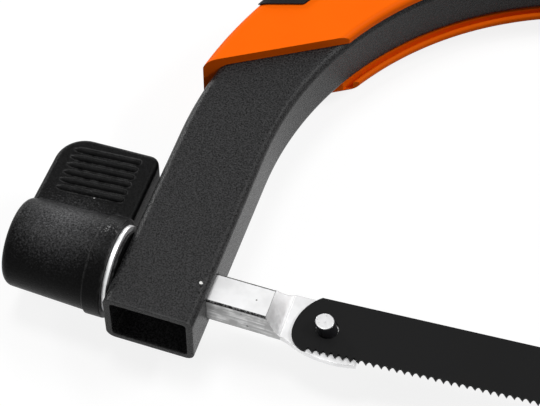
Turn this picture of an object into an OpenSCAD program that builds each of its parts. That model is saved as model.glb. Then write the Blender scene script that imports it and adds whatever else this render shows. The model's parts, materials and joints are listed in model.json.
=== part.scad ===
// Hacksaw with a bent rectangular tube frame, lying on its side.
// X runs from the tension knob towards the handle, Y from the blade to the spine, Z up.

/* [Blade] */
// Distance between the blade's two hole centres
hole_span = 300; // [290:1:310]
// Width of the blade, teeth included
blade_w = 13; // [12:0.1:14]
// Thickness of the blade
blade_t = 0.65; // [0.6:0.01:0.8]
// Blade beyond each hole's centre
blade_end = 6.9; // [6.5:0.1:8]
// Diameter of the blade's holes
hole_d = 4.8; // [4.7:0.1:5]
// How far the holes lie from the blade's middle line, towards the teeth
hole_drop = 0.45; // [0:0.05:0.8]
// Teeth per 25.4 mm
teeth_per_inch = 16; // [14:1:24]
// Depth of the gullets between the teeth
gullet_depth = 0.9; // [0.5:0.05:1]

/* [Frame tube] */
// Width of the tube, in the plane of the frame
tube_w = 19.2; // [18:0.1:22]
// Thickness of the tube, across the frame
tube_t = 14; // [12:0.5:15]
// Wall of the tube
tube_wall = 1.5; // [1.2:0.1:1.9]
// Outer corner radius of the tube
tube_r = 2; // [2:0.1:3]
// Lean of the front leg towards the handle
leg_lean = 3.7; // [0:0.1:6]
// Centre line radius of the front bend
front_bend_r = 86.85; // [80:0.05:95]
// Centre line radius of the rear bend
rear_bend_r = 38; // [34:1:45]
// Clear depth from the pins to the spine
throat = 106; // [100:1:112]
// Tube beyond the draw bar's axis at the front leg
leg_tail = 11.7; // [10:0.1:14]
// Tube beyond the blade's line at the rear leg
rear_tail = 11; // [9:0.5:12]

/* [Draw bar and rear holder] */
// Side of the square bars
bar_side = 7; // [6.4:0.1:7.4]
// Clearance of a square bar in its square hole, each side
square_gap = 0.1; // [0.05:0.05:0.3]
// Thickness of the flattened paddles
paddle_t = 1.35; // [1.2:0.05:2]
// Length of a paddle beyond its pin
paddle_end = 7.8; // [6.5:0.1:9]
// From the pin to the start of the ramp on the square bar
ramp_start = 11.8; // [11:0.1:13]
// From the pin to the foot of the ramp
ramp_foot = 8.6; // [8.2:0.1:9.6]
// From the front pin to the leg's centre line
bar_reach = 33.85; // [32:0.05:38]
// From the rear pin to the rear leg's centre line
rear_reach = 26; // [25:0.5:30]
// Diameter of the threaded shank
shank_d = 6; // [5:0.5:6]
// Clearance between a running shank and its bore, on the radius
run_gap = 0.05; // [0.02:0.01:0.1]
// Diameter of the blade pins
pin_d = 3.9; // [3.6:0.1:4]
// Height of the pins above the blade
pin_proud = 2.6; // [2:0.1:3.5]
// Lean of the pins away from the blade
pin_lean = 14; // [8:1:16]
// Diameter of the pin across the rear holder
cross_pin_d = 4; // [3:0.5:4]

/* [Tension knob] */
// Length of the knob along its axis
knob_len = 22.3; // [19:0.1:24]
// Diameter of the barrel at its free end
barrel_d_end = 19; // [16:0.1:20]
// Diameter of the barrel at its collar
barrel_d_root = 20.2; // [18:0.1:22]
// Diameter of the collar
collar_d = 21.2; // [20:0.1:24]
// Length of the collar
collar_len = 3.9; // [3:0.1:5]
// Reach of the wing from the knob's axis
wing_reach = 26.8; // [26:0.1:30]
// Thickness of the wing
wing_t = 9; // [7:0.1:11]
// Running gap between the wing and the washer's plane
wing_gap = 0.2; // [0.1:0.05:0.6]
// Number of grip ribs on each side of the wing
rib_count = 6; // [4:1:6]
// Spacing of the grip ribs
rib_pitch = 2.05; // [1.8:0.05:2.2]
// Diameter of the zinc plated washer
washer_d = 18.8; // [16:0.2:22]
// Thickness of the washer
washer_t = 1; // [0.8:0.1:1.6]
// Diameter of the bush's flange
bush_d = 16.8; // [14:0.2:18]
// Thickness of the bush's flange
bush_t = 0.6; // [0.4:0.1:1.5]

/* [Front saddle] */
// Wall of the moulded saddle on the tube's sides
saddle_t = 2.4; // [2:0.1:3]
// Lip of the saddle past the tube's throat face, on the far side
saddle_lip = 1.5; // [0.8:0.1:2]
// Angle round the front bend where the saddle starts, on the throat side
saddle_from = 150; // [142:1:156]
// Slope of the saddle's slanted front edge
saddle_slope = 27.7; // [20:0.1:35]
// End of the saddle along the spine, from the front blade pin
saddle_end = 112; // [100:1:130]
// Depth of the recess that the soft pad lies in
pad_recess = 1.1; // [0.8:0.1:1.4]
// How far the soft pad stands proud of the saddle
pad_proud = 0.5; // [0.2:0.1:0.8]
// Width of saddle left bare beside the pad, from the tube's middle line
pad_edge = 3.9; // [2:0.1:5]
// Slope of the pad's slanted front edge
pad_slope = 14.7; // [5:0.1:25]

/* [Handle] */
// Wall of the handle around the tube
sleeve_t = 3; // [2.6:0.1:3.6]
// Length of the handle's sleeve along the spine, before the rear bend
sleeve_len = 52; // [40:1:60]
// Thickness of the handle, across the frame
handle_t = 22; // [20:0.5:23]
// Length of the finger opening
finger_len = 86; // [80:1:92]
// Width of the finger opening at its middle
finger_w = 33; // [30:1:36]
// Width of the handle's bridges above and below the fingers
bridge_w = 19; // [16:0.5:21]
// Width of the grip
grip_w = 27; // [24:0.5:30]
// Thickness of the grip
grip_t = 24; // [22:0.5:26]
// Thickness of the grip's soft sleeve
grip_sleeve_t = 2; // [1.6:0.1:2.6]
// Lean of the grip, its top towards the blade
grip_lean = 9; // [4:1:14]
// Diameter of the handle's screws
screw_d = 4; // [3:0.5:4]

/* [Hidden] */
$fn = 48;
eps = 0.05;
// The leaning leg reaches into its bend and is a hair narrower, so that no faces coincide
weld = 0.4;
hair = 0.01;
// Size of a cutting block that is larger than the saw, and how far smaller cuts run past
past_all = 600;
margin = 1;

black = [0.1, 0.1, 0.1];
orange = [0.95, 0.38, 0.02];
zinc = [0.86, 0.87, 0.88];
steel = [0.5, 0.5, 0.52];

function to_hundredth(v) = round(100 * v) / 100;
function unit(v) = v / norm(v);
function blend(a, b, t) = a + (b - a) * t;
function arc_points(cx, cy, r, from, to, n) =
    [for (k = [0:n]) let (a = from + (to - from) * k / n) [cx + r * cos(a), cy + r * sin(a)]];

// Heights on the bars. Z is 0 on the middle plane of the tube.
bar_drop = 1;
bar_bottom = -bar_side / 2;
paddle_top = bar_bottom + paddle_t;
blade_top = paddle_top + blade_t;
pin_top = blade_top + pin_proud;
// Slack of each pin in its hole, taken up by the blade's tension
pin_shift = 0.05;
rear_pin_x = hole_span - 2 * pin_shift;

// Paddle in plan: its back edge runs out from the bar, its toothed side is an arc
paddle_back = 6.1;
paddle_back_end = 6.6;
paddle_low = 6.8;
paddle_arc_r = 22;
paddle_arc_x = 1.9;
// Share of the ramp's side view that is hollow, the rest is straight
ramp_hollow = 0.6;
bar_bevel = 0.5;
// Square bar that reaches past the leg's centre line before the shank begins
square_inside = 5;

// Blade outline: arcs of the rounded nose and the shape of a tooth
tooth_pitch = 25.4 / teeth_per_inch;
blade_back = hole_drop + blade_w / 2;
tooth_line = hole_drop - blade_w / 2;
nose_drop = 2.1;
nose_y = hole_drop - nose_drop;
nose_high_angle = 52.8;
nose_low_angle = 71;
nose_high_r = (blade_back - nose_y) / sin(nose_high_angle);
nose_low_r = (nose_y - tooth_line) / sin(nose_low_angle);
nose_steps = 8;
teeth_from = -blade_end + nose_low_r * (1 - cos(nose_low_angle));
teeth_run = hole_span - 2 * teeth_from;
tooth_count = floor(teeth_run / tooth_pitch);
teeth_start = teeth_from + (teeth_run - tooth_count * tooth_pitch) / 2;
// One tooth, as shares of the pitch and of the gullet's depth; the steep side faces the handle
tooth_shape = [[0, 0], [0.12, 0.75], [0.34, 1], [0.56, 0.74]];

// Centre line of the frame
leg_cx = to_hundredth(-bar_reach * cos(leg_lean) - bar_drop * sin(leg_lean));
leg_cy = to_hundredth(bar_reach * sin(leg_lean) - bar_drop * cos(leg_lean));
spine_y = throat + tube_w / 2;
front_cy = spine_y - front_bend_r;
leg_len = (front_cy + front_bend_r * sin(leg_lean) - leg_cy) / cos(leg_lean);
front_cx = to_hundredth(leg_cx + leg_len * sin(leg_lean) + front_bend_r * cos(leg_lean));
rear_leg_x = rear_pin_x + rear_reach;
rear_cx = rear_leg_x - rear_bend_r;
rear_cy = spine_y - rear_bend_r;
rear_leg_end = -rear_tail;
tube_inner_r_least = 0.3;
tube_inner_r = tube_r - tube_wall + tube_inner_r_least;
square_hole = bar_side + 2 * square_gap;

// Knob, measured outwards from the leg's centre line along the draw bar
bush_wall = 1.6;
bush_spigot_r = shank_d / 2 + bush_wall;
bush_face = tube_w / 2 + bush_t;
washer_face = bush_face + washer_t;
washer_gap = 0.2;
knob_tip = washer_face + knob_len;
knob_bore_gap = 0.4;
knob_bore_r = shank_d / 2 + knob_bore_gap;
barrel_from = washer_face + collar_len;
barrel_round = 1.8;
shank_short = 4;
shank_end = knob_tip - shank_short;
shank_room = 1.5;
nut_af = 10;
nut_len = 8;
wing_from = washer_face + wing_gap;
wing_slope = 0.5;
wing_chamfer = 1.4;
wing_corner = 6.2;
wing_corner_small = 2.2;
wing_root_sink = 0.4;
wing_root_r = barrel_d_end / 2 - wing_root_sink;
web_r = 1.4;
rib_r = 0.8;
rib_len = 14.6;
rib_tilt = 4.1;
rib_from = 3.4;
rib_margin = 3;
rib_sink = 0.25;

// Saddle and its pad
saddle_w = tube_w + saddle_t + saddle_lip;
saddle_mid = (saddle_t - saddle_lip) / 2;
saddle_r = 2.4;
saddle_run_on = 22;
saddle_sweep_from = saddle_from + saddle_run_on;
saddle_front = [front_cx, front_cy]
    + (front_bend_r - tube_w / 2) * [cos(saddle_from), sin(saddle_from)];
rear_slope = 40;
pad_setback = 1;
pad_from = saddle_from + pad_setback;
pad_front = [front_cx, front_cy]
    + (front_bend_r + tube_w / 4) * [cos(pad_from), sin(pad_from)];
pad_short = 16;
pad_end = saddle_end - pad_short;
saddle_screw_d = 3;
saddle_screw_from_end = 22;
saddle_screw_x = saddle_end - saddle_screw_from_end;
saddle_screw_y = spine_y - 2;
saddle_head_d = 6.4;
saddle_head_h = 1.6;
saddle_screw_len = 7;

// Handle loop: corners of its centre line, clockwise from the foot of the front bar
section_points = 24;
ring_steps = 6;
fullness = 0.55;
sleeve_r = 5;
sleeve_w = tube_w + 2 * sleeve_t;
loop_low = rear_leg_end - sleeve_t + bridge_w / 2;
loop_high = loop_low + bridge_w + finger_len;
grip_setback = 8;
grip_x_low = rear_leg_x + sleeve_w / 2 + finger_w + grip_w / 2 + grip_setback;
grip_x_high = grip_x_low - (loop_high - loop_low) * tan(grip_lean);
loop_corners = [[rear_leg_x, loop_low], [rear_leg_x, loop_high],
    [grip_x_high, loop_high], [grip_x_low, loop_low]];
loop_fillets = [15, 15, 20, 20];
// Width and thickness of the loop on the edge that leaves each corner
loop_inset = 2;
loop_w = [sleeve_w - loop_inset, bridge_w, grip_w, bridge_w];
loop_t = [handle_t - loop_inset, handle_t, grip_t, handle_t];
// Straight stretch of the grip that the soft sleeve covers
grip_edge = loop_corners[3] - loop_corners[2];
grip_from = loop_fillets[2] * tan((90 - grip_lean) / 2);
grip_to = loop_fillets[3] * tan((90 + grip_lean) / 2);
grip_start = loop_corners[2] + unit(grip_edge) * grip_from;
grip_len = norm(grip_edge) - grip_from - grip_to;

// Handle screws, with their heads on the near side and their nuts on the far side
boss_setback = 6;
boss_x = rear_leg_x + sleeve_w / 2 + boss_setback;
// Screws of the grip's ends: nearer the fingers and to the middle than the loop's corners
grip_screw_in = 3;
grip_screw_out = 1;
handle_screw_at = [[boss_x, loop_low], [grip_x_low - grip_screw_in, loop_low + grip_screw_out],
    [boss_x, loop_high], [grip_x_high - grip_screw_in, loop_high - grip_screw_out]];
screw_head_rim = 1.5;
screw_head_d = screw_d + 2 * screw_head_rim;
screw_head_h = 2.6;
screw_head_gap = 0.3;
screw_nut_af = 1.75 * screw_d;
screw_nut_h = 0.8 * screw_d;
head_sink = 5;
head_seat = handle_t / 2 - head_sink;

// The part's own frame: origin under the middle of the box around the saw
knob_x = leg_cx - knob_tip * cos(leg_lean);
grip_bulge = 0.4;
grip_back = grip_x_low + grip_w / 2 + grip_bulge;
mid_x = to_hundredth((knob_x + grip_back) / 2);
top_y = spine_y + tube_w / 2 + saddle_t + pad_proud;
low_y = rear_leg_end - sleeve_t;
mid_y = to_hundredth((top_y + low_y) / 2);
rest_z = grip_t / 2 + grip_sleeve_t;

// ---- places ----
module in_frame() {
    translate([-mid_x, -mid_y, rest_z]) children();
}

// Origin at the front leg where the draw bar passes, X along the bar to the blade
module at_leg() {
    in_frame() translate([leg_cx, leg_cy, 0]) rotate([0, 0, -leg_lean]) children();
}

// The same place with Z pointing outwards along the knob's axis
module at_knob() {
    at_leg() rotate([0, -90, 0]) children();
}

// The same place with X outwards along the knob's axis and Y along the wing
module at_wing() {
    at_leg() rotate([0, 0, 180]) mirror([0, 1, 0]) children();
}

module at_front_pin() {
    in_frame() rotate([0, 0, -leg_lean]) children();
}

module at_rear_pin() {
    in_frame() translate([rear_pin_x, 0, 0]) mirror([1, 0, 0]) children();
}

module at_cross_pin() {
    in_frame() translate([rear_leg_x, -bar_drop, 0]) children();
}

module at_saddle_screw() {
    in_frame() translate([saddle_screw_x, saddle_screw_y, 0]) children();
}

module at_handle_screws() {
    in_frame() for (p = handle_screw_at) translate([p[0], p[1], 0]) children();
}

module hexagon(across_flats, h) {
    cylinder(d = across_flats * 2 / sqrt(3), h = h, $fn = 6);
}

// ---- sweeps along the frame: a section's x points away from the throat, its y is Z ----
module sweep_leg(length) {
    translate([front_cx, front_cy, 0]) rotate([0, 0, 180 - leg_lean])
        translate([0, length, 0]) rotate([90, 0, 0]) linear_extrude(length + weld)
            translate([front_bend_r, 0]) children();
}

module sweep_front_bend(from, to) {
    translate([front_cx, front_cy, 0]) rotate([0, 0, from])
        rotate_extrude(angle = to - from, $fn = 96) translate([front_bend_r, 0]) children();
}

module sweep_spine(from, to) {
    translate([to, spine_y, 0]) rotate([0, 0, 90]) translate([0, to - from, 0])
        rotate([90, 0, 0]) linear_extrude(to - from) children();
}

module sweep_rear_bend() {
    translate([rear_cx, rear_cy, 0])
        rotate_extrude(angle = 90, $fn = 96) translate([rear_bend_r, 0]) children();
}

module sweep_rear_leg(bottom) {
    translate([rear_leg_x, rear_cy, 0]) rotate([90, 0, 0])
        linear_extrude(rear_cy - bottom) children();
}

module rounded_section(w, t, r) {
    square([w - 2 * r, t], center = true);
    square([w, t - 2 * r], center = true);
    for (x = [-1, 1], y = [-1, 1])
        translate([x * (w / 2 - r), y * (t / 2 - r)]) circle(r);
}

// The whole frame from end to end, or further by extra at both
module sweep_frame(w, t, r, extra = 0) {
    sweep_leg(leg_len + leg_tail + extra) rounded_section(w - 2 * hair, t - 2 * hair, r);
    sweep_front_bend(90, 180 - leg_lean) rounded_section(w, t, r);
    sweep_spine(front_cx, rear_cx) rounded_section(w, t, r);
    sweep_rear_bend() rounded_section(w, t, r);
    sweep_rear_leg(rear_leg_end - extra) rounded_section(w, t, r);
}

// ---- frame ----
module square_passage() {
    cube([3 * tube_wall, square_hole, square_hole], center = true);
}

module frame_tube() {
    color(black) difference() {
        in_frame() difference() {
            sweep_frame(tube_w, tube_t, tube_r);
            sweep_frame(tube_w - 2 * tube_wall, tube_t - 2 * tube_wall, tube_inner_r, margin);
        }
        // Square hole for the draw bar and round hole for its bush
        at_leg() translate([tube_w / 2, 0, 0]) square_passage();
        at_knob() translate([0, 0, tube_w / 2 - 2 * tube_wall])
            cylinder(r = bush_spigot_r, h = 4 * tube_wall);
        // Square hole for the rear holder and the holes of its cross pin
        in_frame() translate([rear_leg_x - tube_w / 2, -bar_drop, 0]) square_passage();
        at_cross_pin() cylinder(d = cross_pin_d, h = 2 * tube_t, center = true);
        at_saddle_screw() cylinder(d = saddle_screw_d, h = 2 * tube_t, center = true);
    }
}

// ---- bars with a flattened paddle: origin at the pin, the bar runs towards -X ----
function ramp_drop(t) = 1 - blend(t, sin(90 * t), ramp_hollow);
function ramp_points(n) = [for (k = [0:n])
    [blend(-ramp_start, -ramp_foot, k / n), paddle_top + (bar_side - paddle_t) * ramp_drop(k / n)]];

module paddle_plan() {
    bar_low = -bar_drop - bar_side / 2;
    intersection() {
        polygon([[-ramp_start, bar_low], [-ramp_start, bar_low + bar_side],
            [-ramp_foot, paddle_back], [paddle_end, paddle_back_end],
            [paddle_end, -paddle_low - margin], [-ramp_foot, -paddle_low - margin], [-ramp_foot, bar_low]]);
        union() {
            translate([paddle_arc_x, paddle_arc_r - paddle_low]) circle(paddle_arc_r, $fn = 120);
            translate([-ramp_start - margin, bar_low])
                square([ramp_start - ramp_foot + 2 * margin, 2 * bar_side]);
        }
    }
}

module bar_with_paddle(length) {
    // Square bar with its long edges broken
    translate([-length, -bar_drop, 0]) rotate([90, 0, 90]) linear_extrude(length - ramp_start)
        intersection() {
            square(bar_side, center = true);
            rotate(45) square(bar_side * sqrt(2) - bar_bevel, center = true);
        }
    // Forged end: the paddle's plan under the ramp's side view
    intersection() {
        translate([0, 0, bar_bottom]) linear_extrude(bar_side) paddle_plan();
        translate([0, 2 * bar_side, 0]) rotate([90, 0, 0]) linear_extrude(4 * bar_side)
            polygon(concat([[-ramp_start, bar_bottom]], ramp_points(8),
                [[paddle_end, paddle_top], [paddle_end, bar_bottom]]));
    }
}

// A pin through the paddle, leaning away from the blade's middle
module leaning_pin(extra = 0) {
    intersection() {
        translate([0, 0, blade_top]) rotate([0, -pin_lean, 0])
            cylinder(d = pin_d, h = 4 * bar_side, center = true);
        translate([-2 * pin_d, -2 * pin_d, bar_bottom - extra])
            cube([4 * pin_d, 4 * pin_d, pin_top - bar_bottom + 2 * extra]);
    }
}

module draw_bar() {
    color(zinc) {
        at_front_pin() difference() {
            bar_with_paddle(bar_reach + square_inside);
            leaning_pin(extra = margin);
        }
        at_knob() translate([0, 0, square_inside - eps])
            cylinder(d = shank_d, h = shank_end - square_inside + eps);
    }
}

module front_blade_pin() {
    color(zinc) at_front_pin() leaning_pin();
}

module rear_holder() {
    color(zinc) difference() {
        at_rear_pin() difference() {
            bar_with_paddle(rear_reach + square_inside);
            leaning_pin(extra = margin);
        }
        at_cross_pin() cylinder(d = cross_pin_d, h = 2 * tube_t, center = true);
    }
}

module rear_blade_pin() {
    color(zinc) at_rear_pin() leaning_pin();
}

module holder_cross_pin() {
    color(steel) at_cross_pin() cylinder(d = cross_pin_d, h = tube_t, center = true);
}

// ---- blade: the nose has a wide arc from the back edge and a tight one to the teeth ----
function nose() = concat(
    [for (k = [0:nose_steps]) let (a = nose_high_angle * (1 - k / nose_steps))
        [-blade_end + nose_high_r * (1 - cos(a)), nose_y + nose_high_r * sin(a)]],
    [for (k = [1:nose_steps]) let (a = nose_low_angle * k / nose_steps)
        [-blade_end + nose_low_r * (1 - cos(a)), nose_y - nose_low_r * sin(a)]]);
function teeth() = [for (i = [0:tooth_count - 1], p = tooth_shape)
    [teeth_start + (i + p[0]) * tooth_pitch, tooth_line + gullet_depth * p[1]]];
function far_end(points) =
    [for (i = [len(points) - 1:-1:0]) [hole_span - points[i][0], points[i][1]]];

module blade() {
    color(black) in_frame() translate([-pin_shift, 0, paddle_top])
        linear_extrude(blade_t) difference() {
            polygon(concat(nose(), teeth(),
                [[teeth_start + tooth_count * tooth_pitch, tooth_line]], far_end(nose())));
            for (x = [0, hole_span]) translate([x, 0]) circle(d = hole_d);
        }
}

// ---- bush, washer and tension knob ----
module guide_bush() {
    color(black) at_knob() difference() {
        union() {
            translate([0, 0, tube_w / 2]) cylinder(d = bush_d, h = bush_t);
            translate([0, 0, tube_w / 2 - tube_wall])
                cylinder(r = bush_spigot_r, h = tube_wall + eps);
        }
        cylinder(r = shank_d / 2 + run_gap, h = 4 * tube_w, center = true);
    }
}

module washer() {
    color(zinc) at_knob() translate([0, 0, bush_face]) difference() {
        cylinder(d = washer_d, h = washer_t);
        cylinder(r = shank_d / 2 + washer_gap, h = 4 * washer_t, center = true);
    }
}

// Half section of the barrel, with a rounded free edge
function barrel_profile() = concat([[0, barrel_from], [barrel_d_root / 2, barrel_from]],
    arc_points(barrel_d_end / 2 - barrel_round, knob_tip - barrel_round, barrel_round, 0, 90, 6),
    [[0, knob_tip]]);

// Wing in plan: x outwards along the axis, y away from it
module wing_plan(inset) {
    high = wing_reach - wing_slope;
    polygon(concat([[wing_from + inset, 0]],
        arc_points(wing_from + wing_corner_small, wing_reach - wing_corner_small,
            wing_corner_small - inset / 2, 180, 90, 4),
        arc_points(knob_tip - wing_slope - wing_corner, high - wing_corner,
            wing_corner - inset, 90, 0, 8),
        [[knob_tip - inset, 0]]));
}

// Concave fillet between the wing's face and the barrel, in the plane across the axis
module web_section() {
    rise = wing_t / 2 + web_r;
    reach = sqrt(pow(wing_root_r + web_r, 2) - pow(rise, 2));
    difference() {
        polygon([[0, 0], [reach, 0], [reach, rise]]);
        translate([reach, rise]) circle(web_r);
    }
}

module both_sides() {
    children();
    mirror([0, 0, 1]) children();
}

module knob_body() {
    color(black) difference() {
        union() {
            at_knob() rotate_extrude($fn = 72) polygon(barrel_profile());
            at_wing() hull() {
                linear_extrude(wing_t, center = true) wing_plan(wing_chamfer);
                linear_extrude(wing_t - 2 * wing_chamfer, center = true) wing_plan(0);
            }
            at_wing() both_sides() {
                translate([barrel_from, 0, 0]) rotate([90, 0, 90])
                    linear_extrude(knob_tip - barrel_from - barrel_round) web_section();
                for (i = [0:rib_count - 1])
                    translate([wing_from + rib_from, wing_reach - rib_margin - i * rib_pitch,
                        wing_t / 2 - rib_sink]) rotate([0, 90, -rib_tilt])
                        cylinder(r = rib_r, h = rib_len, $fn = 16);
            }
        }
        at_knob() cylinder(d = collar_d, h = barrel_from);
        at_knob() translate([0, 0, barrel_from]) hexagon(nut_af, nut_len);
        at_knob() cylinder(r = knob_bore_r, h = shank_end + shank_room);
    }
}

module knob_collar() {
    color(black) at_knob() translate([0, 0, washer_face]) difference() {
        cylinder(d = collar_d, h = collar_len);
        cylinder(r = knob_bore_r, h = 4 * collar_len, center = true);
    }
}

module knob_nut() {
    color(zinc) at_knob() translate([0, 0, barrel_from]) difference() {
        hexagon(nut_af, nut_len);
        cylinder(r = shank_d / 2 + run_gap, h = 4 * nut_len, center = true);
    }
}

// ---- front saddle: flush with the tube's throat face on the near side, lipped on the far ----
module saddle_section(grow) {
    translate([saddle_mid, 0])
        rounded_section(saddle_w + 2 * grow, tube_t + 2 * saddle_t + 2 * grow, saddle_r);
}

module saddle_channel() {
    past_lip = tube_w / 2 + 2 * saddle_lip;
    rounded_section(tube_w, tube_t, tube_r);
    translate([-past_lip, -tube_t / 2]) square([past_lip, tube_t]);
    translate([-past_lip, 0]) square([past_lip - tube_w / 2, tube_t]);
}

// Where the pad lies: the outer part of the section, past its recess
module pad_zone() {
    difference() {
        translate([pad_edge, -tube_t]) square([2 * tube_w, 2 * tube_t]);
        saddle_section(-pad_recess);
    }
}

module sweep_saddle(to) {
    sweep_front_bend(90, saddle_sweep_from) children();
    sweep_spine(front_cx, to) children();
}

// Sweeps the pad's zone or a part of it, cut off along its slanted front edge
module sweep_pad() {
    difference() {
        sweep_saddle(pad_end) children();
        translate([pad_front[0], pad_front[1], -tube_w]) rotate([0, 0, pad_slope])
            translate([tube_w - past_all, -past_all, 0]) cube([past_all, past_all, 2 * tube_w]);
    }
}

// What the slanted ends of the saddle leave out
module saddle_ends() {
    translate([saddle_front[0], saddle_front[1], -tube_w]) rotate([0, 0, saddle_slope])
        translate([tube_w - past_all, -past_all, 0]) cube([past_all, past_all, 2 * tube_w]);
    translate([saddle_end, spine_y + tube_w / 2, -tube_w]) rotate([0, 0, -rear_slope])
        translate([0, -past_all / 2, 0]) cube([past_all, past_all, 2 * tube_w]);
}

module saddle_shell() {
    color(orange) difference() {
        in_frame() difference() {
            sweep_saddle(saddle_end + saddle_t) difference() {
                saddle_section(0);
                saddle_channel();
            }
            sweep_pad() pad_zone();
            saddle_ends();
        }
        at_saddle_screw() cylinder(d = saddle_screw_d, h = 2 * tube_t, center = true);
    }
}

module saddle_pad() {
    color(black) in_frame() sweep_pad() intersection() {
        saddle_section(pad_proud);
        pad_zone();
    }
}

module saddle_screws() {
    side_z = tube_t / 2 + saddle_t;
    color(steel) at_saddle_screw() both_sides() {
        translate([0, 0, side_z]) cylinder(d = saddle_head_d, h = saddle_head_h);
        translate([0, 0, side_z - saddle_screw_len])
            cylinder(d = saddle_screw_d, h = saddle_screw_len + eps);
    }
}

// ---- handle: two halves that clasp the rear leg, closed round the fingers ----
// Superellipse whose flats lie exactly on its width and thickness
function full_side(v) = sign(v) * pow(abs(v) / cos(180 / section_points), fullness);
function oval(w, t, j) = let (q = 360 * (j + 0.5) / section_points)
    [w / 2 * full_side(cos(q)), t / 2 * full_side(sin(q))];

// Rings of the loop: centre, direction outwards, width and thickness
function loop_rings() = [for (i = [0:3]) let (
        prev = loop_corners[(i + 3) % 4], here = loop_corners[i], next = loop_corners[(i + 1) % 4],
        a = unit(here - prev), b = unit(next - here), turn = acos(a * b),
        r = loop_fillets[i], start = here - a * r * tan(turn / 2),
        inward = [a[1], -a[0]], centre = start + inward * r)
    for (k = [0:ring_steps]) let (q = turn * k / ring_steps,
        out = [-inward[0] * cos(q) + a[0] * sin(q), -inward[1] * cos(q) + a[1] * sin(q)],
        s = k / ring_steps, ease = s * s * (3 - 2 * s))
    [centre + out * r, out, blend(loop_w[(i + 3) % 4], loop_w[i], ease),
        blend(loop_t[(i + 3) % 4], loop_t[i], ease)]];

function loop_point(ring, j) = let (p = oval(ring[2], ring[3], j))
    [ring[0][0] + ring[1][0] * p[0], ring[0][1] + ring[1][1] * p[0], p[1]];

module handle_loop() {
    rings = loop_rings();
    n = len(rings);
    m = section_points;
    polyhedron(points = [for (ring = rings, j = [0:m - 1]) loop_point(ring, j)],
        faces = [for (i = [0:n - 1], j = [0:m - 1])
            [i * m + j, ((i + 1) % n) * m + j, ((i + 1) % n) * m + (j + 1) % m, i * m + (j + 1) % m]]);
}

module sleeve_section() {
    rounded_section(sleeve_w, handle_t, sleeve_r);
}

module handle_sleeve() {
    sweep_spine(rear_cx - sleeve_len, rear_cx) sleeve_section();
    sweep_rear_bend() sleeve_section();
    sweep_rear_leg(rear_leg_end - sleeve_t) sleeve_section();
}

module handle_solid() {
    difference() {
        in_frame() difference() {
            union() {
                handle_loop();
                handle_sleeve();
            }
            sweep_frame(tube_w, tube_t, tube_r);
            // Passage for the rear holder's bar
            translate([rear_leg_x - sleeve_w / 2, -bar_drop, 0])
                cube([sleeve_w, square_hole, square_hole], center = true);
        }
        at_handle_screws() {
            cylinder(d = screw_d, h = 2 * grip_t, center = true);
            translate([0, 0, head_seat]) cylinder(d = screw_head_d + 2 * screw_head_gap, h = grip_t);
            translate([0, 0, -grip_t - head_seat]) hexagon(screw_nut_af, grip_t);
        }
    }
}

module handle_near_half() {
    color(orange) intersection() {
        handle_solid();
        in_frame() translate([0, -past_all / 2, 0]) cube([past_all, past_all, grip_t]);
    }
}

module handle_far_half() {
    color(orange) intersection() {
        handle_solid();
        in_frame() translate([0, -past_all / 2, -grip_t]) cube([past_all, past_all, grip_t]);
    }
}

module handle_screws() {
    color(steel) at_handle_screws() {
        translate([0, 0, head_seat]) cylinder(d = screw_head_d, h = screw_head_h);
        translate([0, 0, -head_seat - screw_nut_h])
            cylinder(d = screw_d, h = 2 * head_seat + screw_nut_h + eps);
    }
}

module handle_nuts() {
    color(zinc) at_handle_screws() translate([0, 0, -head_seat - screw_nut_h]) difference() {
        hexagon(screw_nut_af, screw_nut_h);
        cylinder(d = screw_d, h = 3 * screw_nut_h, center = true);
    }
}

// Soft sleeve around the straight part of the grip
module grip_sleeve() {
    color(black) in_frame() translate([grip_start[0], grip_start[1], 0]) rotate([0, 0, grip_lean])
        rotate([90, 0, 0]) linear_extrude(grip_len) difference() {
            polygon([for (j = [0:section_points - 1])
                oval(grip_w + 2 * grip_sleeve_t, grip_t + 2 * grip_sleeve_t, j)]);
            polygon([for (j = [0:section_points - 1]) oval(grip_w, grip_t, j)]);
        }
}

frame_tube();
draw_bar();
front_blade_pin();
blade();
guide_bush();
washer();
knob_body();
knob_collar();
knob_nut();
saddle_shell();
saddle_pad();
saddle_screws();
rear_holder();
rear_blade_pin();
holder_cross_pin();
handle_near_half();
handle_far_half();
handle_screws();
handle_nuts();
grip_sleeve();
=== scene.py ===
"""Hacksaw with a bent rectangular tube frame: detailed pieces and finishes around the packed frame."""

import json
import math

import bmesh
import bpy
from bpy.props import FloatProperty, FloatVectorProperty, IntProperty
from mathutils import Matrix, Vector


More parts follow.
